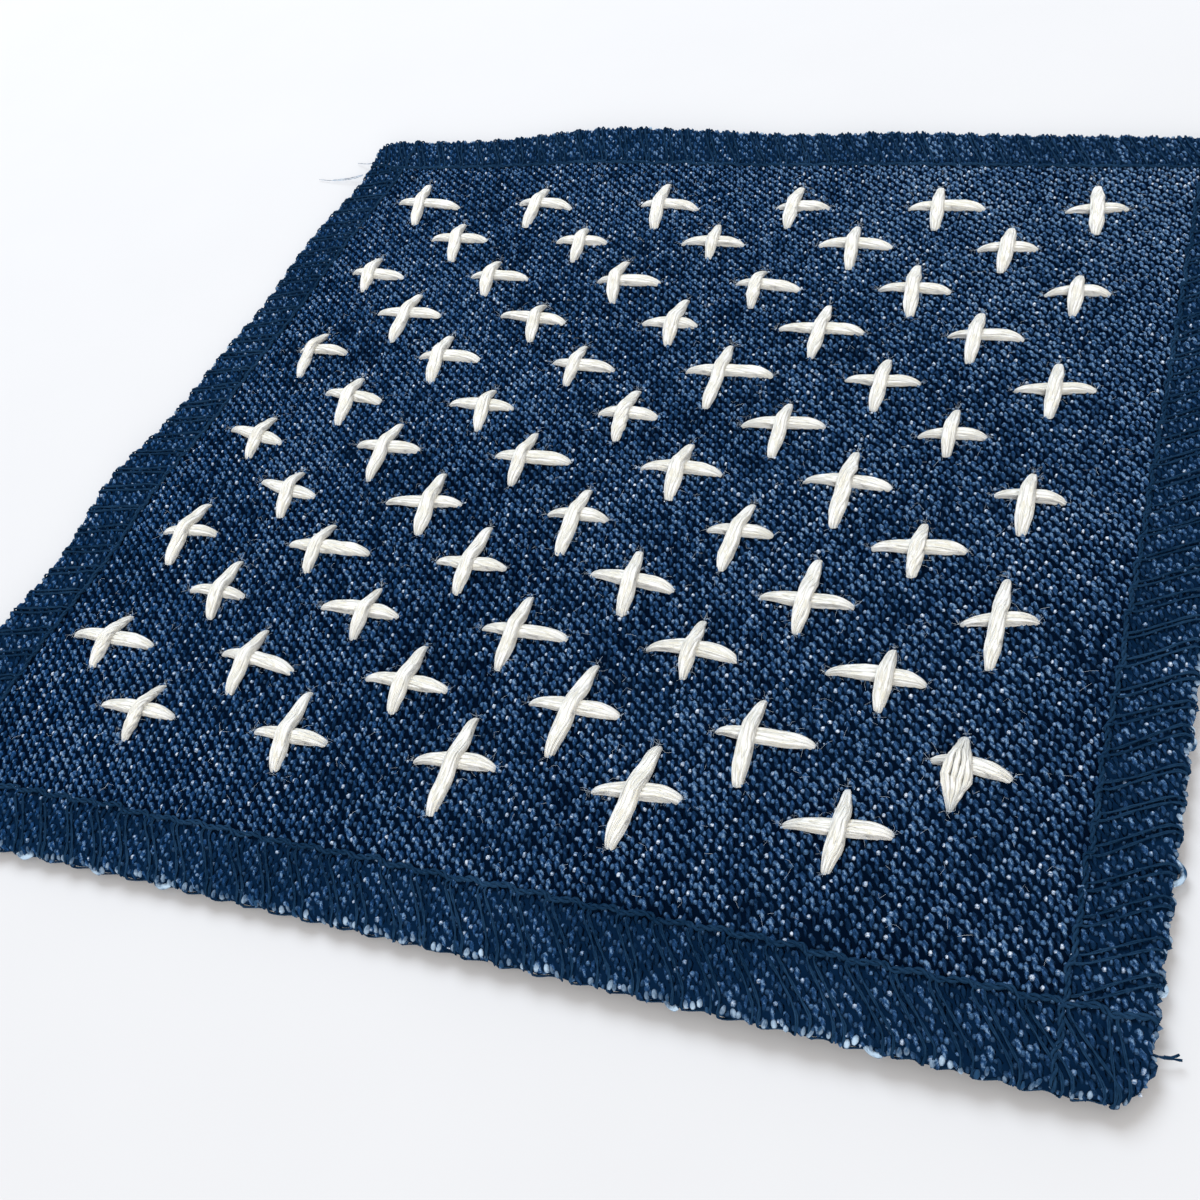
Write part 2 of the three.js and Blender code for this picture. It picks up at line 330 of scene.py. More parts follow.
def lay(plan):
    """Lays points of the even patch, in millimetres, where they lie on the real one, in metres."""
    x, y, height = np.asarray(plan, dtype=float).T
    inset, out_x, out_y = from_rim(x, y)
    past = np.maximum(RIM_ROUND - inset, 0)
    turn = np.clip(past / RIM_ROUND, 0, math.pi)
    under = np.maximum(past - math.pi * RIM_ROUND, 0)
    top_z = face_height(x, y, inset)
    rim_top = np.interp(RIM_ROUND, BAND_INSETS, BAND_HEIGHTS)
    thick = RIM_ROUND + height
    wrapped = RIM_ROUND - thick * np.sin(turn) + under
    new_inset = np.where(past > 0, wrapped, inset)
    around_z = rim_top - RIM_ROUND + thick * np.cos(turn)
    low = rim_top - 2 * RIM_ROUND
    under_z = np.interp(new_inset, UNDER_INSETS, UNDER_HEIGHTS) - height
    under_share = np.clip(under / UNDER_BLEND, 0, 1)
    under_z = (low - height) * (1 - under_share) + under_z * under_share
    z = np.where(past <= 0, top_z + height, np.where(under > 0, under_z, around_z))
    scallop = SCALLOP * leg_wave(x, y) * np.clip(1 - new_inset / SCALLOP_REACH, 0, 1)
    shift = inset - new_inset + scallop
    x = x + out_x * shift
    y = y + out_y * shift
    move = edge_waves(x, y)
    return np.stack([x + move[0], y + move[1], z + move[2]], axis=1) * MM

# %% [markdown]
# ## The sewing chart
# The stitches sit on a staggered grid, six and five to a row, but each was sewn by hand, so none is quite
# like the next. A short chart says how: a letter for each stitch's two lengths, where they cross, how
# high the upright one hangs, and how both are turned.

# %% Sewing chart
FIRST_COLUMN, FIRST_ROW, COLUMN_PITCH, ROW_PITCH = -37.4, 37.3, 14.7, 6.725
# Columns: across, upright, cross, hang, tilt, lean.
CHART = [
    ("tmmsls", "lmlmml", "lllll.", ".L....", "ddd..u", "B.b.bb"),
    ("msmls", "mssmm", ".....", "LLH..", "....u", "Bbbb."),
    ("mmmmms", "ssmsls", "llll..", "...L..", "d..d.u", "bbb.b."),
    ("llstm", "lsmlm", ".rr.l", "LLH..", ".d...", ".b..."),
    ("smmtmm", "mmstmm", "llll..", "L..LL.", "..d..u", ".b...."),
    ("mmsls", "msmms", ".r...", "LL.LH", "d..uu", "bb..."),
    ("mmllls", "slmmtm", "r.l...", ".L..LL", "D.....", "......"),
    ("mlssl", "sllls", "rr...", "L.LL.", "Du..u", "bb.f."),
    ("stmlls", "lslmlt", ".l....", "..H.H.", "u..d.U", "...b.."),
    ("sllll", "mslss", "rrl.r", "H..H.", ".....", "b...."),
    ("tlllls", "smmtlw", ".l..ll", "..H.LL", ".d...d", "f..f.."),
    ("lmmml", "slttm", "r....", ".H...", "..uuu", "fb.f."),
]
ACROSS_LENGTH = {"s": 5.8, "m": 6.8, "l": 7.6, "t": 8.4}
UPRIGHT_LENGTH = {"s": 6.1, "m": 7.2, "l": 8.1, "t": 9.3, "w": 6.7}
CROSSING_SHIFT = {"l": -0.8, ".": 0.0, "r": 0.8}
HANG_SHIFT = {"H": 0.6, ".": 0.0, "L": -0.5}
TURN_DEGREES = {"D": -12, "d": -6, ".": 0, "u": 5, "U": 12}
LEAN_DEGREES = {"B": -12, "b": -6, ".": -1, "f": 4}


def read_chart():
    """Where each plus stitch crosses, the way of its two stitches, and how far each reaches both ways."""
    stitches = []
    for row, (across, upright, cross, hang, tilt, lean) in enumerate(CHART):
        indent = COLUMN_PITCH / 2 * (row % 2)
        for place, size in enumerate(across):
            shift = CROSSING_SHIFT[cross[place]]
            lift = HANG_SHIFT[hang[place]]
            turn = math.radians(TURN_DEGREES[tilt[place]])
            slope = math.radians(LEAN_DEGREES[lean[place]])
            half_across = ACROSS_LENGTH[size] / 2
            half_upright = UPRIGHT_LENGTH[upright[place]] / 2
            stitches.append({
                "x": FIRST_COLUMN + indent + place * COLUMN_PITCH + shift / 2,
                "y": FIRST_ROW - row * ROW_PITCH,
                "ways": {"across": (math.cos(turn), math.sin(turn)),
                         "upright": (math.sin(slope), math.cos(slope))},
                "arms": {"across": (half_across + shift, half_across - shift),
                         "upright": (half_upright - lift, half_upright + lift)},
                "open": upright[place] == "w",
                "place": (row, place),
            })
    return stitches


def by_stitch(stitch, way, run, aside=0.0):
    """The point that lies so far along a stitch and so far to its side."""
    ahead_x, ahead_y = stitch["ways"][way]
    return stitch["x"] + ahead_x * run - ahead_y * aside, stitch["y"] + ahead_y * run + ahead_x * aside


plus_stitches = read_chart()
stitch_ends = [
    by_stitch(stitch, way, run)
    for stitch in plus_stitches for way, (back, forth) in stitch["arms"].items() for run in (-back, forth)
]
print(len(plus_stitches), "plus stitches,", len(stitch_ends), "ends that dip the cloth")

# %% Helpers that build and run a geometry tree
SOCKET_KINDS = {int: "NodeSocketInt", float: "NodeSocketFloat"}


def new_tree(name, sizes, extras=()):
    """A tree with a geometry input, one named input for each size, and a geometry output."""
    tree = bpy.data.node_groups.new(name, "GeometryNodeTree")
    tree.interface.new_socket("Geometry", in_out="INPUT", socket_type="NodeSocketGeometry")
    for label, value in sizes.items():
        tree.interface.new_socket(label, in_out="INPUT", socket_type=SOCKET_KINDS[type(value)])
    for label, kind in extras:
        tree.interface.new_socket(label, in_out="INPUT", socket_type=kind)
    tree.interface.new_socket("Geometry", in_out="OUTPUT", socket_type="NodeSocketGeometry")
    return tree, put(tree, "NodeGroupInput").outputs


def store(tree, geometry, name, value, domain="POINT"):
    """Writes a number on each point or each instance, for the finish to read."""
    inputs = {"Geometry": geometry, "Name": name, "Value": value}
    settings = {"data_type": "FLOAT", "domain": domain}
    return put(tree, "GeometryNodeStoreNamedAttribute", inputs, **settings).outputs[0]


def finish_tree(tree, geometry, material):
    """Ends a tree: real geometry, smooth faces, one material."""
    real = put(tree, "GeometryNodeRealizeInstances", {"Geometry": geometry}).outputs[0]
    smooth = put(tree, "GeometryNodeSetShadeSmooth", {"Geometry": real}).outputs[0]
    inputs = {"Geometry": smooth, "Material": material}
    finished = put(tree, "GeometryNodeSetMaterial", inputs).outputs[0]
    put(tree, "NodeGroupOutput", {"Geometry": finished})


def grow(tree, base, values):
    """Runs a tree on an object and returns the mesh that it makes."""
    modifier = base.modifiers.new(tree.name, "NODES")
    modifier.node_group = tree
    for item in tree.interface.items_tree:
        if item.in_out == "INPUT" and item.name in values:
            modifier[item.identifier] = values[item.name]
    evaluated = base.evaluated_get(bpy.context.evaluated_depsgraph_get())
    mesh = bpy.data.meshes.new_from_object(evaluated)
    bpy.data.objects.remove(base)
    return mesh


def new_object(name, mesh):
    thing = bpy.data.objects.new(name, mesh)
    bpy.context.scene.collection.objects.link(thing)
    return thing


def points_of(mesh):
    values = np.empty(len(mesh.vertices) * 3)
    mesh.vertices.foreach_get("co", values)
    return values.reshape(-1, 3)


def read_all(items, name, kind=float):
    values = np.empty(len(items), dtype=kind)
    items.foreach_get(name, values)
    return values


def numbers_of(mesh, name):
    """A number that the mesh carries on its points, as an array."""
    return read_all(mesh.attributes[name].data, "value")


def give(mesh, name, values, kind="FLOAT"):
    """Makes the mesh carry a number on its points."""
    mesh.attributes.new(name, kind, "POINT").data.foreach_set("value", values)


def corners_of(mesh):
    """For each face corner its point, and for each face its first corner and how many it has."""
    points = read_all(mesh.loops, "vertex_index", np.int64)
    starts = read_all(mesh.polygons, "loop_start", np.int64)
    return points, starts, read_all(mesh.polygons, "loop_total", np.int64)


def store_map(mesh, u, v):
    """Stores a map that no two faces share, so that the finish can be kept with the mesh."""
    layer = mesh.uv_layers.new(name="OFBake")
    layer.data.foreach_set("uv", np.stack([u, v], axis=1).ravel())


pieces = {}


def finish_piece(name, mesh, slot, laid=True):
    """Lays a mesh that was made on the even patch, or leaves it where it is, and keeps it as a piece."""
    points = points_of(mesh)
    mesh.vertices.foreach_set("co", (lay(points) if laid else points * MM).ravel())
    mesh.update()
    pieces[name] = (new_object(name, mesh), slot)
    triangles = sum(len(face.vertices) - 2 for face in mesh.polygons)
    lowest = points_of(mesh)[:, 2].min() / MM
    print(name, triangles, "triangles, lowest point", round(float(lowest), 3), "mm")

# %% [markdown]
# ## The cloth
# The denim itself is one closed sheet, about 1.3 mm thick at the band. It is made of rings that run round
# the patch: from the middle of the underside out, round the rim, and back in to the middle of the face.
# Rings put many points where the cloth bends, at the rim and the band, and few where it is flat.
# The yarns that lie on it hide most of its face, so there it is painted near black, as the shade in the gaps
# between them. Its underside shows the paler weft, drawn by the material.

# %% Finish of the cloth
YARN_PITCH = 0.364
PICK_PITCH = 0.613
WEFT_SKEW = 0.06


def cloth_material():
    material, tree, shader = new_material("denim_ground_and_gap_shade", 0.95, 0.0)
    # Painted shade: the face between the yarns is painted near black, as the shade deep in the gaps of the
    # weave.
    gap_shade = blend_colours(tree, mottle(tree, 90), (0.0002, 0.0016, 0.0065), (0.0012, 0.0062, 0.0190))
    face = blend_colours(tree, carried(tree, "band"), gap_shade, (0.0024, 0.0125, 0.0370))
    warp_way = noise(tree, stretched(tree, (1 / (YARN_PITCH * MM), 120, 1)), 1.0, 1.0)
    weft_way = noise(tree, stretched(tree, (200, 1 / (PICK_PITCH * MM), 1)), 1.0, 1.0)
    weft = blend_colours(tree, weft_way, (0.10, 0.15, 0.24), (0.42, 0.47, 0.55))
    back = blend_colours(tree, calc(tree, "POWER", warp_way, 2.0), weft, (0.03, 0.06, 0.13))
    under = calc(tree, "GREATER_THAN", carried(tree, "under"), 0.5)
    paint(tree, shader, blend_colours(tree, under, face, back))
    rough_up(tree, shader, calc(tree, "ADD", warp_way, weft_way), 0.00012)
    return material

# %% Cloth
def outline_point(share):
    """A point of the cut edge, for a share of the way round it, with the way out of the edge there."""
    straight = (2 * (HALF[0] - CORNER), 2 * (HALF[1] - CORNER))
    bend = math.pi / 2 * CORNER
    lengths = [straight[0], bend, straight[1], bend, straight[0], bend, straight[1], bend]
    left = share * sum(lengths)
    for part, length in enumerate(lengths):
        if left <= length:
            break
        left -= length
    quarter = part // 2
    angle = math.pi / 2 * (quarter - 1)
    if part % 2:
        angle += left / CORNER
    out = (math.cos(angle), math.sin(angle))
    corner_x = (HALF[0] - CORNER) * (1, 1, -1, -1)[quarter]
    corner_y = (HALF[1] - CORNER) * (-1, 1, 1, -1)[quarter]
    x = MIDDLE[0] + corner_x + out[0] * CORNER
    y = MIDDLE[1] + corner_y + out[1] * CORNER
    if part % 2 == 0:
        back = lengths[part] - left
        x += out[1] * back
        y -= out[0] * back
    return x, y


RING_POINTS = 480
# The rings, by how far in from the cut edge they lie. Below zero they go round the rim, and below
# UNDER_FROM they lie on the underside. The shares are of flat rings that close it towards the middle.
RIM_INSETS = [-7.0, -5.5, -4.0, -2.6, -1.9, -1.45, -1.2, -0.95, -0.7, -0.45, -0.2]
FACE_INSETS = [*np.arange(0.0, 1.4, 0.2), *np.arange(1.4, 7.0, 0.45), *np.arange(7.0, 49.0, 1.5)]
UNDER_SHARES = (0.1, 0.3, 0.55, 0.8)
UNDER_FROM = -1.6
FAR = 99.0


def cloth_rings():
    """Rings on the even patch, from under the band out over the rim and in to the middle of the face."""
    edge = np.array([outline_point((i + 0.5) / RING_POINTS) for i in range(RING_POINTS)])
    middle, half = np.array(MIDDLE), np.array(HALF)
    out = np.stack(from_rim(*edge.T)[1:], axis=1)
    rings = []
    for inset in [*RIM_INSETS, *FACE_INSETS]:
        ring = edge - inset * out if inset < 0 else middle + (edge - middle) * (1 - inset / half)
        rings.append(np.column_stack([ring, np.zeros(RING_POINTS)]))
    return rings


def ring_faces(count):
    """Faces between each ring and the next, and a fan at either end that closes the sheet."""
    pairs = [(i, (i + 1) % RING_POINTS) for i in range(RING_POINTS)]
    faces = [(0, 1 + j, 1 + i) for i, j in pairs]
    last = 1 + (count - 1) * RING_POINTS
    for low in range(1, last, RING_POINTS):
        high = low + RING_POINTS
        faces += [(low + i, low + j, high + j, high + i) for i, j in pairs]
    return faces + [(last + i, last + j, last + RING_POINTS) for i, j in pairs]


def make_cloth():
    """Lays the rings, adds flat ones under them, and notes which points lie under and which in the band."""
    rings = cloth_rings()
    laid = lay(np.concatenate(rings))
    floor_middle = np.array([[*MIDDLE, 0.0]]) * MM
    under_rings = [laid[:RING_POINTS] * share + floor_middle * (1 - share) for share in UNDER_SHARES]
    for ring in under_rings:
        ring[:, 2] = 0.0
    points = np.concatenate([floor_middle, *under_rings, laid, lay([[*MIDDLE, 0.0]])])
    mesh = bpy.data.meshes.new("denim_cloth")
    mesh.from_pydata(points.tolist(), [], ring_faces(len(under_rings) + len(rings)))
    mesh.shade_smooth()
    ring_insets = [-FAR] * len(under_rings) + RIM_INSETS + FACE_INSETS
    inset = np.array([-FAR, *np.repeat(ring_insets, RING_POINTS), FAR])
    give(mesh, "under", (inset < UNDER_FROM).astype(float))
    give(mesh, "band", (inset < NEEDLE_INSET).astype(float))
    mesh.materials.append(cloth_material())
    return new_object("denim_cloth", mesh)


cloth = make_cloth()
lowest = float(points_of(cloth.data)[:, 2].min()) / MM
print("cloth", len(cloth.data.polygons), "faces, lowest point", round(lowest, 3), "mm")

# %% [markdown]
# ## The twill
# Jeans cloth is a twill: each indigo warp yarn passes over two white weft yarns and under one, and each
# next yarn does so one pick higher, which draws the slanting lines. So its face is a lattice of two small
# shapes, a long indigo float and a round white dot, about fifteen thousand of each. Each shape has only a
# few faces, and a tree puts it on every place of the lattice with a little unevenness. The dye is patchy,
# so every float and dot also carries a tone, a number that its finish turns into colour.

# %% Shapes of the float and the dot
def small_shape(name, points, faces, wear_and_highlight):
    """A small closed mesh. Each point gets a number from 0 to 1 that its finish paints lighter: the worn dye
    on the yarn's crown, and a painted highlight where the light falls on it.
    """
    mesh = bpy.data.meshes.new(name)
    mesh.from_pydata(points, [], faces)
    give(mesh, "crown_wear_and_highlight", wear_and_highlight)
    return new_object(name, mesh)


def float_shape(width, length, height, lean):
    """A warp float: it comes up blunt and high, leans to one side, and runs out to a point."""
    half = width / 2
    points = [
        (0, -0.46, -0.04), (-0.74 * half, -0.10, 0), (0, -0.10, 0.8 * height), (0.74 * half, -0.10, 0),
        (-half, 0.24, 0), (0, 0.24, height), (half, 0.24, 0), (0, 0.44, 0.02),
    ]
    points = [(x - lean * share * length, share * length, z) for x, share, z in points]
    faces = [
        (0, 2, 1), (0, 3, 2), (1, 2, 5, 4), (2, 3, 6, 5), (4, 5, 7), (5, 6, 7),
        (0, 1, 3), (1, 4, 6, 3), (4, 7, 6),
    ]
    # Painted highlight: the blunt far end, which faces the light, is painted lighter than the tail.
    return small_shape("float_shape", points, faces, [0.2, 0.6, 0.9, 0.6, 0.66, 1, 0.66, 0.75])


def dot_shape(width, length, height):
    """A weft dot: a low dome with six sides and a flat underside."""
    ring = [(width / 2 * math.cos(a), length / 2 * math.sin(a), 0) for a in np.arange(6) * math.pi / 3]
    faces = [(i, (i + 1) % 6, 6) for i in range(6)]
    faces.append((5, 4, 3, 2, 1, 0))
    # The top point is painted lightest, a painted highlight, and the rim darker.
    return small_shape("dot_shape", [*ring, (0, 0, height)], faces, [0.1] * 6 + [1])

# %% Tree that sets a shape on every place of the twill
def chance(tree, low, high, seed):
    """A random number or vector for each point."""
    if isinstance(low, float):
        node = put(tree, "FunctionNodeRandomValue", {"Min_001": low, "Max_001": high, "Seed": seed})
        return node.outputs[1]
    inputs = {"Min": low, "Max": high, "Seed": seed}
    return put(tree, "FunctionNodeRandomValue", inputs, data_type="FLOAT_VECTOR").outputs[0]


def drift(tree, x, y):
    """A slow random number between about -0.3 and 0.3."""
    return calc(tree, "SUBTRACT", noise(tree, joined(tree, x, y), 1.0, 1.0), 0.5)


def lattice_place(tree, size):
    """Where each point lies, by its number: column and pick of the twill, slow drift, a little jitter."""
    index = put(tree, "GeometryNodeInputIndex").outputs[0]
    column = calc(tree, "MODULO", index, size["Columns"])
    row = calc(tree, "FLOOR", calc(tree, "DIVIDE", index, size["Columns"]))
    pick = calc(tree, "ADD", calc(tree, "MULTIPLY", row, 3.0), calc(tree, "MODULO", column, 3.0))
    pick = calc(tree, "ADD", pick, size["Pick offset"])
    x = calc(tree, "MULTIPLY_ADD", column, size["Yarn pitch"], size["First x"])
    y = calc(tree, "MULTIPLY_ADD", pick, size["Pick pitch"], size["First y"])
    y = calc(tree, "MULTIPLY_ADD", x, size["Skew"], y)
    yarn_drift = drift(tree, calc(tree, "MULTIPLY", column, 0.73), calc(tree, "MULTIPLY", y, 0.3))
    pick_drift = drift(tree, calc(tree, "MULTIPLY_ADD", x, 0.3, 70.0), calc(tree, "MULTIPLY", pick, 0.41))
    x = calc(tree, "MULTIPLY_ADD", yarn_drift, size["Wander"], x)
    y = calc(tree, "MULTIPLY_ADD", pick_drift, size["Wander"], y)
    jitter = chance(tree, (-0.03, -0.06, -0.04), (0.03, 0.06, 0.02), size["Seed"])
    return vcalc(tree, "ADD", joined(tree, x, y), jitter)


def in_from_edge(tree, size):
    """Whether a point lies past the rounded outline, and how far in from the nearest side."""
    here = put(tree, "GeometryNodeInputPosition").outputs[0]
    flat = vcalc(tree, "MULTIPLY", vcalc(tree, "SUBTRACT", here, (*MIDDLE, 0.0)), (1.0, 1.0, 0.0))
    off_middle = vcalc(tree, "ABSOLUTE", flat)
    halves = joined(tree, size["Half width"], size["Half length"])
    corner = joined(tree, size["Corner"], size["Corner"])
    past = vcalc(tree, "SUBTRACT", off_middle, vcalc(tree, "SUBTRACT", halves, corner))
    past = vcalc(tree, "LENGTH", vcalc(tree, "MAXIMUM", past, (0.0, 0.0, 0.0)))
    outside = calc(tree, "GREATER_THAN", past, calc(tree, "ADD", size["Corner"], size["Reach"]))
    inset = vcalc(tree, "SUBTRACT", halves, off_middle)
    inset = put(tree, "ShaderNodeSeparateXYZ", {"Vector": inset}).outputs
    return outside, calc(tree, "MINIMUM", inset[0], inset[1])


def twill_tree():
    sizes = {
        "Columns": 1, "Rows": 1, "Yarn pitch": 0.1, "Pick pitch": 0.1, "Pick offset": 0.0, "First x": 0.0,
        "First y": 0.0, "Wander": 0.0, "Unevenness": 0.0, "Half width": 1.0, "Half length": 1.0,
        "Corner": 1.0, "Reach": 1.0, "Band": 1.0, "Skew": 0.0, "Seed": 1,
    }
    extras = [("Shape", "NodeSocketObject"), ("Material", "NodeSocketMaterial")]
    tree, size = new_tree("twill", sizes, extras)
    scale_seed, tone_seed, turn_seed = (calc(tree, "ADD", size["Seed"], more) for more in (1.0, 3.0, 7.0))
    count = calc(tree, "MULTIPLY", size["Columns"], size["Rows"])
    inputs = {"Count": count, "Position": lattice_place(tree, size)}
    points = put(tree, "GeometryNodePoints", inputs).outputs[0]
    outside, inset = in_from_edge(tree, size)
    kept = put(tree, "GeometryNodeDeleteGeometry", {"Geometry": points, "Selection": outside}).outputs[0]
    uneven = joined(tree, size["Unevenness"], size["Unevenness"], size["Unevenness"])
    scale = vcalc(tree, "MULTIPLY", chance(tree, (-1.0, -0.9, -2.0), (1.0, 0.6, 2.0), scale_seed), uneven)
    inputs = {
        "Points": kept,
        "Instance": put(tree, "GeometryNodeObjectInfo", {"Object": size["Shape"]}).outputs["Geometry"],
        "Rotation": joined(tree, z=chance(tree, -0.11, 0.11, turn_seed)),
        "Scale": vcalc(tree, "ADD", scale, (1.0, 1.0, 1.0)),
    }
    placed = put(tree, "GeometryNodeInstanceOnPoints", inputs).outputs[0]
    placed = store(tree, placed, "tone", chance(tree, 0.0, 1.0, tone_seed), "INSTANCE")
    placed = store(tree, placed, "band", calc(tree, "LESS_THAN", inset, size["Band"]), "INSTANCE")
    finish_tree(tree, placed, size["Material"])
    return tree

# %% Finishes of warp and weft
def yarn_level(tree, tone, power, share, pressed, far_sheen):
    """How light a yarn is painted: by its own tone, streaks and clouds of lost dye, the band, a painted sheen
    towards the far right corner, and painted shade beside the threads.
    """
    streak = noise(tree, stretched(tree, (1 / (YARN_PITCH * MM), 130, 1)), 1.0, 1.5)
    # Painted sheen: the yarns are painted lighter towards the far right corner, where the cloth is seen at a
    # glancing angle, and less so in the band.
    corner = calc(tree, "SUBTRACT", vcalc(tree, "DOT_PRODUCT", own_place(tree), (8.0, 10.0, 0.0)), 0.2)
    far_sheen = calc(tree, "MULTIPLY_ADD", carried(tree, "band"), -0.7 * far_sheen, far_sheen)
    level = calc(tree, "MULTIPLY_ADD", calc(tree, "POWER", tone, power), share, -0.95)
    for value, weight in (
        (streak, 0.7), (mottle(tree, 75, 3.0), 1.0), (mottle(tree, 420, 1.0), 0.7),
        (calc(tree, "MAXIMUM", corner, 0.0), far_sheen),
        (carried(tree, "band"), -pressed), (carried(tree, "shade_beside_threads"), -0.35),
    ):
        level = calc(tree, "MULTIPLY_ADD", value, weight, level)
    return calc(tree, "MAXIMUM", level, 0.03)


def twist_lines(tree, tone):
    """The yarn's own twist: slanting lines that cut each float into two or three short blobs."""
    phase = vcalc(tree, "DOT_PRODUCT", own_place(tree), (7500.0, 12500.0, 0.0))
    phase = calc(tree, "MULTIPLY_ADD", mottle(tree, 1300, 1.0), 7.0, phase)
    phase = calc(tree, "MULTIPLY_ADD", tone, 40.0, phase)
    return calc(tree, "MULTIPLY_ADD", calc(tree, "SINE", phase), 0.5, 0.5)


def warp_material():
    material, tree, shader = new_material("indigo_warp", 0.9, 0.0)
    tone = carried(tree, "tone")
    fibres = noise(tree, stretched(tree, (9000, 6500, 9000)), 1.0, 2.0, 0.6)
    twist = twist_lines(tree, tone)
    level = yarn_level(tree, tone, power=1.8, share=0.95, pressed=0.12, far_sheen=1.0)
    # Painted highlight: each float's crest is painted lighter and its flanks darker, partly the worn dye of
    # its crown and partly the light that falls on it. Fibres and twist lines break it up.
    crest_highlight_share = calc(tree, "MULTIPLY_ADD", carried(tree, "crown_wear_and_highlight"), 1.9, -0.80, clamp=True)
    crest_highlight_share = calc(tree, "MULTIPLY", crest_highlight_share, calc(tree, "MULTIPLY_ADD", fibres, 3.7, -1.02))
    crest_highlight_share = calc(tree, "MULTIPLY", crest_highlight_share, calc(tree, "MULTIPLY_ADD", twist, 0.75, 0.34))
    worn_and_lit = calc(tree, "MULTIPLY", crest_highlight_share, level)
    low = blend_colours(tree, tone, (0.0018, 0.0095, 0.0300), (0.0070, 0.0260, 0.0660))
    low = blend_colours(tree, carried(tree, "band"), low, (0.0045, 0.0200, 0.0540))
    to_right = calc(tree, "ADD", vcalc(tree, "DOT_PRODUCT", own_place(tree), (12.0, 0.0, 0.0)), 0.5)
    blue = blend_colours(tree, to_right, (0.014, 0.069, 0.206), (0.029, 0.084, 0.205))
    middle = blend_colours(tree, calc(tree, "MULTIPLY", worn_and_lit, 2.6), low, blue)
    # Painted highlight: where a crest is most worn and lit, it turns pale blue.
    light = calc(tree, "MULTIPLY_ADD", worn_and_lit, 2.2, -0.80)
    paint(tree, shader, blend_colours(tree, light, middle, (0.16, 0.27, 0.43)))
    rough_up(tree, shader, calc(tree, "MULTIPLY_ADD", twist, 0.8, fibres), 0.00010)
    return material


def weft_material():
    material, tree, shader = new_material("pale_weft", 0.9, 0.0)
    tone = carried(tree, "tone")
    fibres = noise(tree, stretched(tree, (5000, 9000, 9000)), 1.0, 2.0, 0.6)
    level = yarn_level(tree, tone, power=3.4, share=1.15, pressed=0.25, far_sheen=0.4)
    level = calc(tree, "ADD", level, 0.12)
    # Painted highlight: each dot is painted lighter at the top of its dome and darker at its rim.
    level = calc(tree, "MULTIPLY", level, calc(tree, "MULTIPLY_ADD", carried(tree, "crown_wear_and_highlight"), 0.6, 0.4))
    level = calc(tree, "MULTIPLY", level, calc(tree, "MULTIPLY_ADD", fibres, 3.0, -0.50))
    low = blend_colours(tree, carried(tree, "band"), (0.001, 0.010, 0.033), (0.002, 0.016, 0.048))
    middle = blend_colours(tree, calc(tree, "MULTIPLY", level, 2.4), low, (0.072, 0.155, 0.300))
    light = calc(tree, "MULTIPLY_ADD", level, 1.1, -0.60)
    paint(tree, shader, blend_colours(tree, light, middle, (0.70, 0.78, 0.90)))
    rough_up(tree, shader, fibres, 0.00006)
    return material

# %% Warp floats and weft dots
YARN_WANDER = 0.42
PAST_EDGE = 0.55


def weave(name, shape, material, pick_offset, uneven, seed):
    """Sets a shape on all places of the twill, gives it its map, and marks where shade is painted on it
    beside the threads.
    """
    columns = math.ceil((RIGHT - LEFT + 2) / YARN_PITCH)
    reach = WEFT_SKEW * max(abs(LEFT), RIGHT) + 3.0
    rows = math.ceil((TOP - BOTTOM + 2 * reach) / (3 * PICK_PITCH)) + 1
    values = {
        "Columns": columns, "Rows": rows, "Yarn pitch": YARN_PITCH, "Pick pitch": PICK_PITCH,
        "Pick offset": pick_offset, "First x": LEFT - 1.0, "First y": BOTTOM - reach,
        "Wander": YARN_WANDER, "Unevenness": uneven, "Half width": HALF[0], "Half length": HALF[1],
        "Corner": CORNER, "Reach": PAST_EDGE, "Band": NEEDLE_INSET, "Skew": WEFT_SKEW, "Seed": seed,
        "Shape": shape, "Material": material,
    }
    mesh = grow(twill, new_object(name, bpy.data.meshes.new(name)), values)
    bpy.data.objects.remove(shape)
    x, y = points_of(mesh)[:, :2].T
    corner_points = corners_of(mesh)[0]
    span = max(RIGHT - LEFT, TOP - BOTTOM) + 4
    store_map(mesh, (x[corner_points] - LEFT + 2) / span, (y[corner_points] - BOTTOM + 2) / span)
    inset = from_rim(x, y)[0]
    # Painted shade: the yarns are painted darker beside the overlock legs and along a line just outside the
    # needle thread.
    by_legs = np.clip((leg_wave(x, y) - 0.15) / 0.5, 0, 1) * np.clip((NEEDLE_INSET - inset) / 0.4, 0, 1)
    by_needle = np.exp(-(((inset - NEEDLE_INSET + 0.5) / 0.35) ** 2))
    give(mesh, "shade_beside_threads", np.maximum(by_legs, by_needle))
    finish_piece(name, mesh, "denim")


twill = twill_tree()
warp_float = float_shape(width=0.56, length=1.50, height=0.22, lean=0.28)
weft_dot = dot_shape(width=0.43, length=0.48, height=0.20)
weave("warp_floats", warp_float, warp_material(), pick_offset=1.5, uneven=0.20, seed=11)
weave("weft_dots", weft_dot, weft_material(), pick_offset=0.0, uneven=0.26, seed=23)

# %% [markdown]
# ## Threads
# Every thread here is made the same way: some strands wind round a path and taper where it dives into
# the cloth. One tree makes them all. A path is a line of points that carries its girth, its twist and
# its number. The tree copies it once for each strand, moves the copies onto a flattened ring, winds them,
# and gives each a round section. Only the numbers differ between a two-ply sewing thread and a soft
# six-strand stitch.

# %% Tree that winds strands round a path
def written(tree, name, kind="FLOAT"):
    """A number that the path carries on its points."""
    return put(tree, "GeometryNodeInputNamedAttribute", {"Name": name}, data_type=kind).outputs["Attribute"]


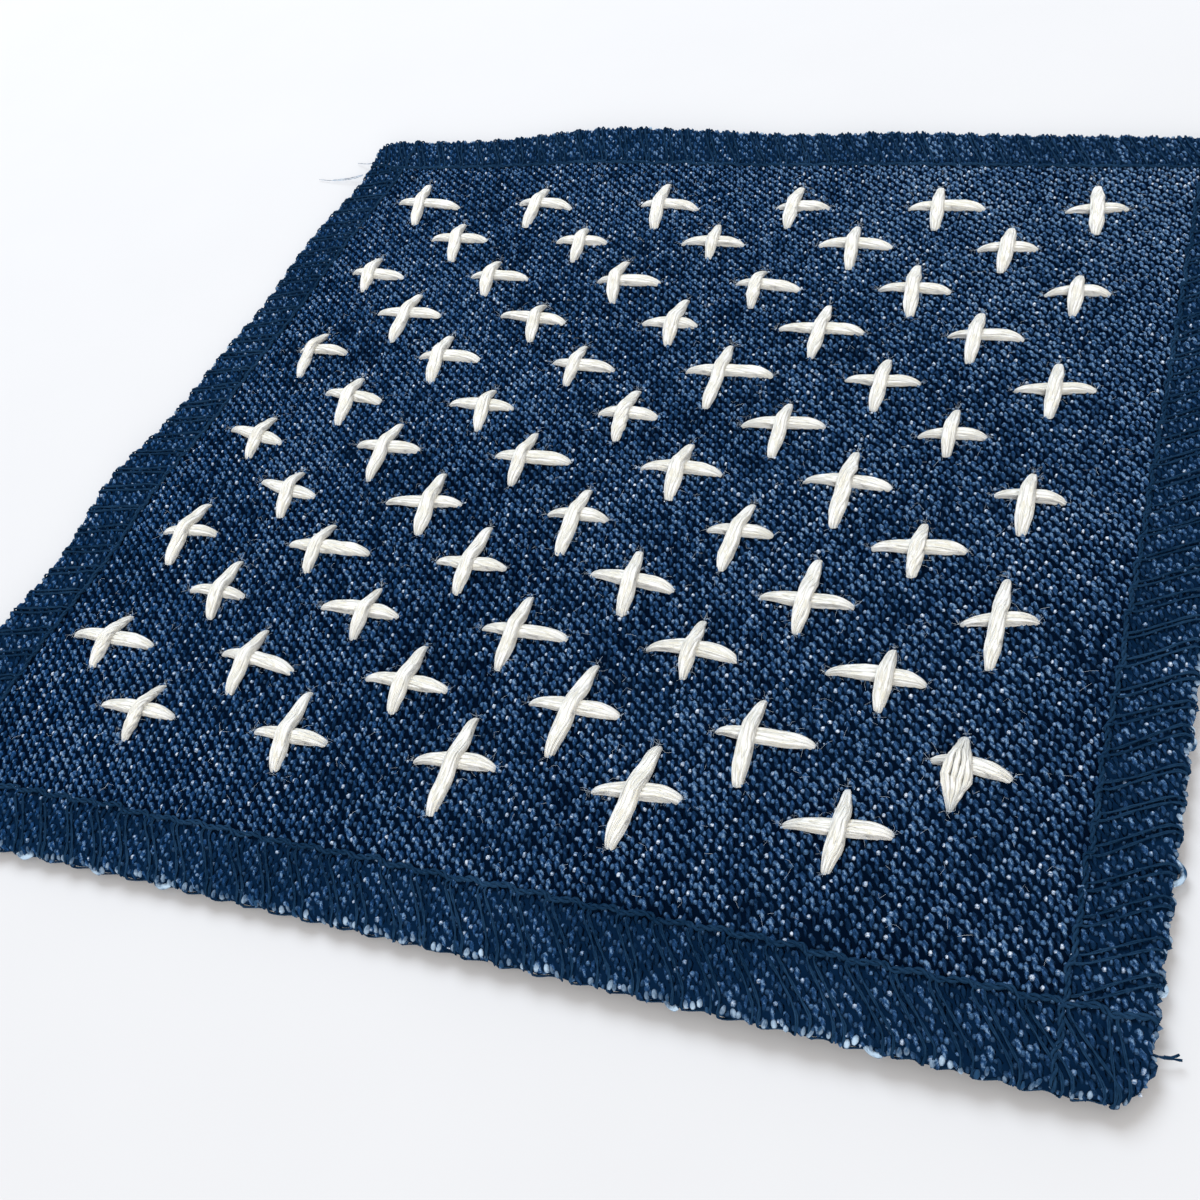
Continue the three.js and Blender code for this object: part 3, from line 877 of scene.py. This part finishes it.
def strand_offset(tree, size, run, strand, girth):
    """How far a strand lies from its path: on a flat ring, turned by the twist, and a little astray."""
    number = written(tree, "path", "INT")
    share = calc(tree, "DIVIDE", strand, size["Strands"])
    inputs = {"Min_001": 0.0, "Max_001": 1.0, "ID": number, "Seed": size["Seed"]}
    start = put(tree, "FunctionNodeRandomValue", inputs).outputs[1]
    turns = calc(tree, "MULTIPLY_ADD", run, written(tree, "twist"), calc(tree, "ADD", share, start))
    angle = calc(tree, "MULTIPLY", turns, 2 * math.pi)
    tangent = put(tree, "GeometryNodeInputTangent").outputs[0]
    aside = vcalc(tree, "NORMALIZE", vcalc(tree, "CROSS_PRODUCT", (0.0, 0.0, 1.0), tangent))
    above = vcalc(tree, "CROSS_PRODUCT", tangent, aside)
    ring_width, ring_height, loose = (
        calc(tree, "MULTIPLY", size[label], girth) for label in ("Ring width", "Ring height", "Stray")
    )
    wide = calc(tree, "MULTIPLY", calc(tree, "COSINE", angle), ring_width)
    high = calc(tree, "MULTIPLY", calc(tree, "SINE", angle), ring_height)
    offset = vcalc(tree, "ADD", scaled(tree, aside, wide), scaled(tree, above, high))
    key = calc(tree, "MULTIPLY_ADD", number, 13.0, calc(tree, "MULTIPLY", strand, 3.7))
    inputs = {"Vector": joined(tree, run, key), "Scale": 0.9, "Detail": 1.0}
    sway = put(tree, "ShaderNodeTexNoise", inputs).outputs["Color"]
    sway = vcalc(tree, "SUBTRACT", sway, (0.5, 0.5, 0.5))
    return vcalc(tree, "ADD", offset, scaled(tree, sway, loose))


def thread_tree():
    sizes = {
        "Strands": 2, "Ring width": 0.1, "Ring height": 0.1, "Strand radius": 0.1, "Step": 0.1,
        "Sides": 5, "Stray": 0.0, "Seed": 1,
    }
    tree, size = new_tree("wound_thread", sizes, [("Material", "NodeSocketMaterial")])
    curve = put(tree, "GeometryNodeMeshToCurve", {"Mesh": size["Geometry"]}).outputs[0]
    inputs = {"Curve": curve, "Length": size["Step"]}
    even = put(tree, "GeometryNodeResampleCurve", inputs, mode="LENGTH").outputs[0]
    inputs = {"Geometry": even, "Amount": size["Strands"]}
    copies = put(tree, "GeometryNodeDuplicateElements", inputs, domain="SPLINE")
    strand = copies.outputs["Duplicate Index"]
    run = put(tree, "GeometryNodeSplineParameter").outputs["Length"]
    girth = written(tree, "girth")
    offset = strand_offset(tree, size, run, strand, girth)
    inputs = {"Geometry": copies.outputs["Geometry"], "Offset": offset}
    wound = put(tree, "GeometryNodeSetPosition", inputs).outputs[0]
    wound = store(tree, store(tree, wound, "along", run), "strand", strand)
    inputs = {"Resolution": size["Sides"], "Radius": 1.0}
    section = put(tree, "GeometryNodeCurvePrimitiveCircle", inputs, mode="RADIUS").outputs[0]
    around = put(tree, "GeometryNodeSplineParameter").outputs["Factor"]
    section = store(tree, section, "around", around)
    radius = calc(tree, "MULTIPLY", size["Strand radius"], calc(tree, "POWER", girth, 0.6))
    inputs = {"Curve": wound, "Profile Curve": section, "Scale": radius, "Fill Caps": True}
    tube = put(tree, "GeometryNodeCurveToMesh", inputs).outputs[0]
    finish_tree(tree, tube, size["Material"])
    return tree

# %% Helpers that turn paths into thread
def path_object(name, paths):
    """One mesh of all paths, each a line of points. A path is (points, girths, twists)."""
    mesh = bpy.data.meshes.new(name)
    points = np.concatenate([path[0] for path in paths])
    starts = np.cumsum([0] + [len(path[0]) for path in paths])
    edges = [(i, i + 1) for a, b in zip(starts[:-1], starts[1:]) for i in range(a, b - 1)]
    mesh.from_pydata(points.tolist(), edges, [])
    for label, column in (("girth", 1), ("twist", 2)):
        give(mesh, label, np.concatenate([path[column] for path in paths]))
    numbers = np.repeat(np.arange(len(paths)), [len(path[0]) for path in paths])
    give(mesh, "path", numbers.astype(np.int32), "INT")
    return new_object(name, mesh)


STRIP_GAP = 0.3
STRIP_PITCH = 1.3


def unroll(mesh, radius, row_length=60.0):
    """Maps each strand as a flat strip, cut into rows, so that no two faces share a place."""
    points, starts, counts = corners_of(mesh)
    along = numbers_of(mesh, "along")[points]
    around = numbers_of(mesh, "around")[points]
    strip = (numbers_of(mesh, "path") * 64 + numbers_of(mesh, "strand")).round()[points]
    face = np.repeat(np.arange(len(starts)), counts)
    low_around = np.minimum.reduceat(around, starts)[face]
    high_around = np.maximum.reduceat(around, starts)[face]
    around = np.where((high_around - low_around > 0.5) & (around < 0.5), around + 1, around)
    row = np.floor(np.minimum.reduceat(along, starts)[face] / row_length)
    keys, rank = np.unique(np.stack([strip, row]), axis=1, return_inverse=True)
    used = np.zeros(keys.shape[1])
    np.maximum.at(used, rank.ravel(), along - row * row_length)
    girth = 2 * math.pi * radius
    sheet = math.sqrt((used + STRIP_GAP).sum() * girth * STRIP_PITCH)
    lefts = np.zeros(len(used))
    rows = np.zeros(len(used))
    left, line = 0.0, 0
    for i, length in enumerate(used + STRIP_GAP):
        if left and left + length > sheet:
            left, line = 0.0, line + 1
        lefts[i], rows[i] = left, line
        left += length
    span = max(sheet + row_length * 0.02, (line + 1) * girth * STRIP_PITCH)
    u = (lefts[rank.ravel()] + along - row * row_length) / span
    v = (rows[rank.ravel()] * STRIP_PITCH + 0.1 + around) * girth / span
    store_map(mesh, np.clip(u, 0, 1), np.clip(v, 0, 1))


TREE_LABELS = {
    "strands": "Strands", "width": "Ring width", "height": "Ring height", "radius": "Strand radius",
    "step": "Step", "sides": "Sides", "stray": "Stray", "seed": "Seed",
}


def spin(name, paths, material, slot, laid=True, **sizes):
    """Makes a thread piece from its paths."""
    values = {TREE_LABELS[key]: value for key, value in sizes.items()}
    values["Material"] = material
    mesh = grow(thread, path_object(name, paths), values)
    unroll(mesh, sizes["radius"])
    finish_piece(name, mesh, slot, laid)


thread = thread_tree()

# %% [markdown]
# ## The plus stitches
# Each is one stitch across and one upright over it, in a soft cotton of six strands. A stitch comes up
# through the cloth as a tight point, opens to its full width over two or three millimetres, and dives
# again. The upright one climbs over the one across. The strands lie almost straight, with a little twist that
# differs from stitch to stitch, and one stitch lies open so that its strands show one by one.

# %% Finish of the stitches
def strand_lines(tree, along_scale, around_scale):
    """Noise drawn out along a strand, which looks like its fibres."""
    where = joined(tree, carried(tree, "along"), carried(tree, "around"), carried(tree, "strand"))
    inputs = {"Vector": where, "Scale": (along_scale, around_scale, 5.0)}
    lines = put(tree, "ShaderNodeMapping", inputs).outputs[0]
    return noise(tree, lines, 1.0, 2.0, 0.6)


def cotton_material():
    material, tree, shader = new_material("cream_cotton", 0.8, 0.2)
    coarse = strand_lines(tree, 0.35, 4.0)
    fine = strand_lines(tree, 1.1, 22.0)
    # Painted shade: thin dark lines run along the strands, as shade in the grooves between them. The same
    # lines raise the bumps.
    groove_shade = calc(tree, "ABSOLUTE", calc(tree, "SUBTRACT", coarse, 0.5))
    groove_shade = calc(tree, "MULTIPLY_ADD", groove_shade, 15.0, 0.05, clamp=True)
    share = calc(tree, "MULTIPLY_ADD", mottle(tree, 500), 0.5, -0.55)
    share = calc(tree, "MULTIPLY_ADD", fine, 1.4, share)
    share = calc(tree, "MULTIPLY_ADD", groove_shade, 0.65, calc(tree, "MULTIPLY_ADD", share, 0.6, -0.10))
    colour = blend_colours(tree, share, (0.67, 0.64, 0.54), (0.98, 0.98, 0.955))
    # Painted shade: the thin ends, where a stitch dives into the cloth, are painted darker and bluer.
    tip = calc(tree, "MULTIPLY_ADD", carried(tree, "girth"), -3.0, 1.15)
    paint(tree, shader, blend_colours(tree, tip, colour, (0.62, 0.72, 0.80)))
    shader.inputs["Sheen Weight"].default_value = 0.4
    shader.inputs["Sheen Roughness"].default_value = 0.5
    shader.inputs["Subsurface Weight"].default_value = 0.5
    shader.inputs["Subsurface Radius"].default_value = (1.0, 0.95, 0.85)
    shader.inputs["Subsurface Scale"].default_value = 0.00015
    height = calc(tree, "MULTIPLY_ADD", fine, 0.7, calc(tree, "MULTIPLY", groove_shade, 0.5))
    rough_up(tree, shader, height, 0.00010)
    return material


def fuzz_material():
    material, tree, shader = new_material("loose_cotton_fibre", 0.9, 0.05)
    paint(tree, shader, blend_colours(tree, mottle(tree, 400), (0.30, 0.40, 0.56), (0.80, 0.87, 0.92)))
    return material

# %% Plus stitches
STITCH_HEIGHT = 0.40
CROSSING_LIFT = 0.52
DIVE = 0.35
BLUNT_TAPER, SHARP_TAPER = 1.6, 3.0
# Row and place of the stitches whose upright part was twisted most.
TWISTED = {(10, 0), (11, 0), (2, 3), (5, 2), (7, 4)}
rng = np.random.default_rng(66)


def stitch_path(stitch, way):
    """One stitch from end to end: its points, how thick it is and how much it is twisted."""
    back, forth = stitch["arms"][way]
    over = way == "upright"
    ends = np.array([0.0, 0.12, 0.3, 0.6, 1.0])
    run = np.concatenate([-back + ends, np.linspace(-back + 1.45, forth - 1.45, 11), (forth - ends)[::-1]])
    to_end = np.minimum(run + back, forth - run)
    height = STITCH_HEIGHT * (1 - np.exp(-to_end / 0.8)) - DIVE * np.exp(-to_end / 0.12)
    blunt, sharp = rng.uniform(0.25, 0.48), rng.uniform(0.14, 0.30)
    tip = np.where((run < 0) == over, blunt, sharp)
    taper = np.where((run < 0) == over, BLUNT_TAPER, SHARP_TAPER)
    girth = tip + (1 - tip) * np.clip(to_end / taper, 0, 1) ** 0.8
    if over:
        height = height + CROSSING_LIFT * np.exp(-((run / 1.15) ** 2))
        girth = girth * (1 - 0.10 * np.exp(-((run / 0.9) ** 2)))
    else:
        height = height - 0.05 * np.exp(-((run / 0.9) ** 2))
    bow = rng.normal(0, 0.14) * (1 - ((run + back) / (back + forth) * 2 - 1) ** 2)
    x, y = by_stitch(stitch, way, run, bow)
    girth = girth * rng.normal(1.0, 0.05)
    twist = rng.normal(0.03, 0.03)
    if over and stitch["place"] in TWISTED:
        twist += 0.15
    return np.stack([x, y, height], axis=1), girth, np.full(len(run), twist)


cotton = cotton_material()
across = [stitch_path(stitch, "across") for stitch in plus_stitches]
upright = [stitch_path(stitch, "upright") for stitch in plus_stitches if not stitch["open"]]
opened = [stitch_path(stitch, "upright") for stitch in plus_stitches if stitch["open"]]
# The open stitch is a spindle without twist: widest a third of the way up.
spindle = np.array([
    0.10, 0.14, 0.20, 0.32, 0.48, 0.66, 0.84, 0.96, 1.0, 0.98, 0.92, 0.84, 0.75, 0.65, 0.56, 0.46, 0.38,
    0.28, 0.18, 0.12, 0.08,
])
opened = [(points, spindle, 0 * twists) for points, _, twists in opened]
floss = {
    "strands": 6, "width": 0.37, "height": 0.11, "radius": 0.33, "step": 0.36, "sides": 7, "stray": 0.14,
}
spin("stitches_across", across, cotton, "embroidery_thread", **floss, seed=5)
spin("stitches_upright", upright, cotton, "embroidery_thread", **floss, seed=9)
floss.update(strands=11, width=0.88, height=0.20, radius=0.22, stray=0.60)
spin("stitch_open", opened, cotton, "embroidery_thread", **floss, seed=2)

# %% [markdown]
# ## Fuzz
# Cotton is spun from short fibres, and some always work loose: most where the thread goes in and out of the
# cloth, some along its sides, and a few on the cloth itself. Without them the stitches look moulded. Each
# is a short curling path for the same tree, with one strand thinner than the camera can quite resolve.

# %% Fuzz
FIBRE_RADIUS = 0.0068
SIDE_FIBRES, END_FIBRES, CLOTH_FIBRES = 24, 8, 1000


def fibre_path(x, y, height, heading, length):
    """A loose fibre that leaves a point, curls and comes down towards the cloth."""
    share = np.linspace(0, 1, 5)
    angle = heading + rng.normal(0, 2.4) * share + rng.normal(0, 0.7) * np.sin(6 * share)
    step = length / 4
    xs = x + np.concatenate([[0], np.cumsum(np.cos(angle[1:]) * step)])
    ys = y + np.concatenate([[0], np.cumsum(np.sin(angle[1:]) * step)])
    lift = rng.uniform(0.0, 0.35) * np.sin(math.pi * share)
    heights = height + (0.26 - height) * share + lift
    return np.stack([xs, ys, heights], axis=1), np.ones(5), np.zeros(5)


def stitch_fibres(stitch, way):
    """Fibres along one stitch and at its two ends."""
    back, forth = stitch["arms"][way]
    ahead_x, ahead_y = stitch["ways"][way]
    heading = math.atan2(ahead_y, ahead_x)
    fibres = []
    for _ in range(SIDE_FIBRES):
        run = rng.uniform(-back + 0.3, forth - 0.3)
        side = rng.choice([-1, 1])
        x, y = by_stitch(stitch, way, run, side * rng.uniform(0.42, 0.62))
        away = heading + side * rng.uniform(0.3, 2.8)
        fibres.append(fibre_path(x, y, rng.uniform(0.2, 0.6), away, rng.choice([0.3, 0.5, 0.9])))
    for run, ahead in ((-back, math.pi), (forth, 0.0)):
        x, y = by_stitch(stitch, way, run)
        for _ in range(END_FIBRES):
            away = heading + ahead + rng.normal(0, 1.1)
            fibres.append(fibre_path(x, y, 0.2, away, rng.uniform(0.3, 0.9)))
    return fibres


fibres = []
for stitch in plus_stitches:
    fibres += stitch_fibres(stitch, "across") + stitch_fibres(stitch, "upright")
for _ in range(CLOTH_FIBRES):
    x, y = rng.uniform(LEFT + 6, RIGHT - 6), rng.uniform(BOTTOM + 6, TOP - 6)
    fibres.append(fibre_path(x, y, 0.25, rng.uniform(0, 2 * math.pi), rng.uniform(0.4, 1.2)))
spin("loose_fibres", fibres, fuzz_material(), "embroidery_thread", strands=1, width=0.0, height=0.0,
     radius=FIBRE_RADIUS, step=0.4, sides=3, stray=0.0, seed=8)

# %% [markdown]
# ## The overlock
# An overlocker trims the cloth and sews over its edge in one pass. Its needle thread runs along the inner
# side of the band. Its looper thread goes from there to the edge and back in pairs of slanting legs, and
# wraps the rim. Each side was sewn by itself, so the four runs cross at the corners. The paths are worked
# out in each side's own terms, along the side and in from the edge, and the same for all four.

# %% Finish of the overlock thread
def sewing_thread_material(name, dark, light):
    material, tree, shader = new_material(name, 0.85, 0.0)
    where = joined(tree, carried(tree, "along"), carried(tree, "around"))
    lines = put(tree, "ShaderNodeMapping", {"Vector": where, "Scale": (3.0, 4.0, 1.0)}).outputs[0]
    fibres = noise(tree, lines, 1.0)
    share = calc(tree, "MULTIPLY_ADD", mottle(tree, 160), 1.2, -1.0)
    share = calc(tree, "MULTIPLY_ADD", fibres, 1.6, share)
    paint(tree, shader, blend_colours(tree, share, dark, light))
    rough_up(tree, shader, fibres, 0.00003)
    return material

# %% Paths of the overlock threads
def smooth_path(points, step=0.3):
    """Rounds a line of points: a curve through them, with a point at every step."""
    points = np.asarray(points, dtype=float)
    padded = np.vstack([2 * points[0] - points[1], points, 2 * points[-1] - points[-2]])
    result = []
    for a, b, c, d in zip(padded[:-3], padded[1:-2], padded[2:-1], padded[3:]):
        count = max(2, math.ceil(np.linalg.norm(c - b) / step))
        t = np.linspace(0, 1, count, endpoint=False)[:, None]
        bend, sway = 2 * a - 5 * b + 4 * c - d, 3 * b - a - 3 * c + d
        result.append(0.5 * (2 * b + (c - a) * t + bend * t**2 + sway * t**3))
    return np.vstack([*result, points[-1:]])


def sewing_path(side, rows, twist):
    """A path from rows of (along a side, in from the edge, above the face)."""
    along, inset, height = smooth_path(rows).T
    x, y = (side.start[i] + side.way[i] * along + side.inwards[i] * inset for i in (0, 1))
    return np.stack([x, y, height], axis=1), np.ones(len(x)), np.full(len(x), twist)


def needle_rows(side):
    """The needle thread: one short stitch for each pair of legs, in line along the band."""
    count, pitch = legs_of(side)
    rows = []
    for k in range(count):
        at = k * pitch + rng.normal(0, 0.08)
        wander = rng.normal(0, 0.05)
        rows.append((at, NEEDLE_INSET - 0.10 + wander, 0.10))
        rows.append((at + 0.35 * pitch, NEEDLE_INSET - 0.04 + wander, 0.24))
        rows.append((at + 0.8 * pitch, NEEDLE_INSET + 0.14 + wander, 0.22))
    return [*rows, (side.length, NEEDLE_INSET, 0.0)]


FULL_TURN, SHORT_TURN = -0.80, -0.40


def looper_rows(side):
    """Pairs of legs from the rim to the needle line and back, and along the rim to the next pair."""
    count, pitch = legs_of(side)
    rows = []
    for k in range(1 if side.name == "bottom" else 2, count):
        at = (k + LEG_START) * pitch + rng.normal(0, 0.08)
        rim_at = min(at + side.slant * NEEDLE_INSET + rng.normal(0, 0.14), side.length - 1.3)
        near, far = rng.uniform(0.16, 0.42, 2)
        # The last pairs turn short, because the corner bends away under them.
        turn = SHORT_TURN if rim_at > side.length - 2.6 else FULL_TURN
        for sign in (-1, 1):
            half = (at + sign * near + rim_at + sign * far) / 2 + rng.normal(0, 0.06)
            leg = [
                (rim_at + sign * (far + 0.3), turn, 0.09), (rim_at + sign * far, -0.2, 0.12),
                (rim_at + sign * far, 0.6, 0.20), (half, 2.6, 0.20), (at + sign * near, 4.5, 0.18),
                (at + sign * near * 0.7, NEEDLE_INSET + 0.05, 0.08),
            ]
            rows += leg if sign < 0 else reversed(leg)
    return rows


def under_rows(side):
    """The lower looper: the same work on the underside, with wider and flatter turns."""
    turn = [
        (-0.9, -1.3, -0.03), (-0.5, -3.5, -0.03), (0.0, -5.8, -0.04),
        (0.5, -3.5, -0.03), (0.9, -1.3, -0.03),
    ]
    count, pitch = legs_of(side)
    middles = [(k + 0.4) * pitch for k in range(count)]
    return [(middle + ahead, inset, height) for middle in middles for ahead, inset, height in turn]

# %% Overlock threads
navy = sewing_thread_material("navy_thread", (0.004, 0.018, 0.046), (0.019, 0.056, 0.120))
needle = [sewing_path(side, needle_rows(side), 0.7) for side in SIDES]
looper = [sewing_path(side, looper_rows(side), 0.25) for side in SIDES]
lower = [sewing_path(side, under_rows(side), 0.5) for side in SIDES]
spin("overlock_needle_thread", needle, navy, "overlock_thread", strands=2, width=0.12, height=0.06,
     radius=0.12, step=0.17, sides=5, stray=0.16, seed=3)
spin("overlock_looper_thread", looper, navy, "overlock_thread", strands=2, width=0.05, height=0.03,
     radius=0.07, step=0.36, sides=4, stray=0.06, seed=4)
spin("overlock_under_thread", lower, navy, "overlock_thread", strands=1, width=0.0, height=0.0,
     radius=0.11, step=0.5, sides=4, stray=0.04, seed=6)

# %% [markdown]
# ## Cut yarn ends
# Between two pairs of legs the trimmed yarns show as a row of pale ends round the rim, like beads. A few
# stand out more. Each is one oval strand on a short path that hugs the rim, made by the same tree. One
# corner keeps a tail of its sewing thread, and another some fine wisps of yarn.

# %% Finish of the cut ends
def cut_end_material():
    material, tree, shader = new_material("pale_yarn_end", 0.9, 0.05)
    share = calc(tree, "MULTIPLY_ADD", strand_lines(tree, 2.0, 6.0), 1.4, -2.0)
    share = calc(tree, "MULTIPLY_ADD", mottle(tree, 900, 3.0), 3.4, share)
    # Painted shade: each oval end is painted darker towards its thin tips, between it and the next.
    share = calc(tree, "MULTIPLY", share, calc(tree, "MULTIPLY_ADD", carried(tree, "girth"), 1.2, -0.1))
    paint(tree, shader, blend_colours(tree, share, (0.016, 0.055, 0.125), (0.42, 0.56, 0.72)))
    return material

# %% Cut ends round the rim
# Columns: side, how many ends between two pairs.
RIM_ENDS = [("bottom", 4), ("right", 3), ("top", 2), ("left", 2)]
# Larger ones. Columns: side, place along it, how far it reaches along, how far it stands out.
RIM_LUMPS = [
    ("bottom", 17.1, 1.2, 0.16), ("bottom", 24.1, 1.0, 0.14), ("bottom", 30.4, 1.0, 0.14),
    ("bottom", 71.0, 0.8, 0.20), ("bottom", 84.0, 1.0, 0.18), ("right", 15.8, 1.8, 0.40),
    ("right", 7.5, 0.7, 0.20), ("right", 26.0, 0.9, 0.25), ("left", 61.0, 0.8, 0.20),
]


# The legs cover this much of each pitch, and some of the ends are missing.
LEGS_WIDTH = 0.6
MISSING = 0.12


def rim_ends(side, number):
    """Short ovals that run down the rim, so many between two pairs of legs."""
    count, pitch = legs_of(side)
    gap = (pitch - LEGS_WIDTH) / number
    downs = ((0.0, 0.02), (0.16, 0.09), (0.34, 0.09), (0.50, 0.0))
    paths = []
    for k in range(count):
        for j in range(number):
            if rng.random() < MISSING:
                continue
            at = (k + LEG_START) * pitch + side.slant * NEEDLE_INSET + LEGS_WIDTH / 2
            at += (j + 0.5) * gap + rng.normal(0, 0.06)
            if at > side.length - 0.6:
                continue
            start = rng.uniform(0.0, 0.35)
            slope = rng.normal(0, 0.05)
            rows = [(at + i * slope, start - down, height) for i, (down, height) in enumerate(downs)]
            points, _, twists = sewing_path(side, rows, 0.2)
            oval = 0.2 + 0.8 * np.sin(np.linspace(0.15, math.pi - 0.15, len(points)))
            paths.append((points, oval * rng.uniform(0.55, 1.25), twists))
    return paths


side_named = {side.name: side for side in SIDES}
ends = [path for name, number in RIM_ENDS for path in rim_ends(side_named[name], number)]
for name, at, reach, out in RIM_LUMPS:
    rows = [(at - reach / 2, -0.35, 0.0), (at - reach / 5, -0.5, out), (at + reach / 5, -0.5, out * 0.9),
            (at + reach / 2, -0.4, 0.0)]
    points, girths, twists = sewing_path(side_named[name], rows, 0.3)
    ends.append((points, girths * 1.3, twists))
pale_end = cut_end_material()
spin("cut_yarn_ends", ends, pale_end, "denim", strands=1, width=0.0, height=0.0,
     radius=0.185, step=0.11, sides=6, stray=0.04, seed=7)

# %% Thread tail and wisps
# Each is a line of points outside the cut edge, in millimetres.
TAIL = [(49.6, -47.9, 0.95), (50.5, -47.9, 0.85), (51.1, -47.8, 0.72), (51.8, -47.7, 0.60)]
TAIL_FORK = [(50.8, -47.85, 0.80), (51.3, -47.7, 0.78), (51.6, -47.45, 0.75)]
WISPS = [
    [(-49.5, 44.2, 0.9), (-51.0, 44.0, 0.6), (-53.5, 44.1, 0.30), (-56.0, 44.5, 0.20)],
    [(-49.6, 44.6, 0.8), (-51.6, 44.5, 0.4), (-54.0, 44.4, 0.20)],
    [(-49.4, 46.9, 0.9), (-50.6, 47.3, 0.6), (-52.3, 48.1, 0.2)],
]


def free_path(points):
    """A path that is placed by itself and not on the even patch. It thins towards its end."""
    line = smooth_path(points)
    return line, np.linspace(1.0, 0.6, len(line)), np.full(len(line), 0.6)


spin("thread_tail", [free_path(TAIL), free_path(TAIL_FORK)], navy, "overlock_thread", laid=False,
     strands=2, width=0.06, height=0.06, radius=0.07, step=0.2, sides=5, stray=0.05, seed=12)
spin("cut_wisps", [free_path(points) for points in WISPS], pale_end, "denim", laid=False,
     strands=2, width=0.04, height=0.02, radius=0.022, step=0.3, sides=4, stray=0.12, seed=14)

# %% [markdown]
# ## Putting it together
# Every piece rides on the one body, and so does the cloth, which replaces the plain solid.

# %% Ride and replace
for name, (piece, slot) in pieces.items():
    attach(piece, "root")
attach(cloth, "root")
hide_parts("denim_patch")
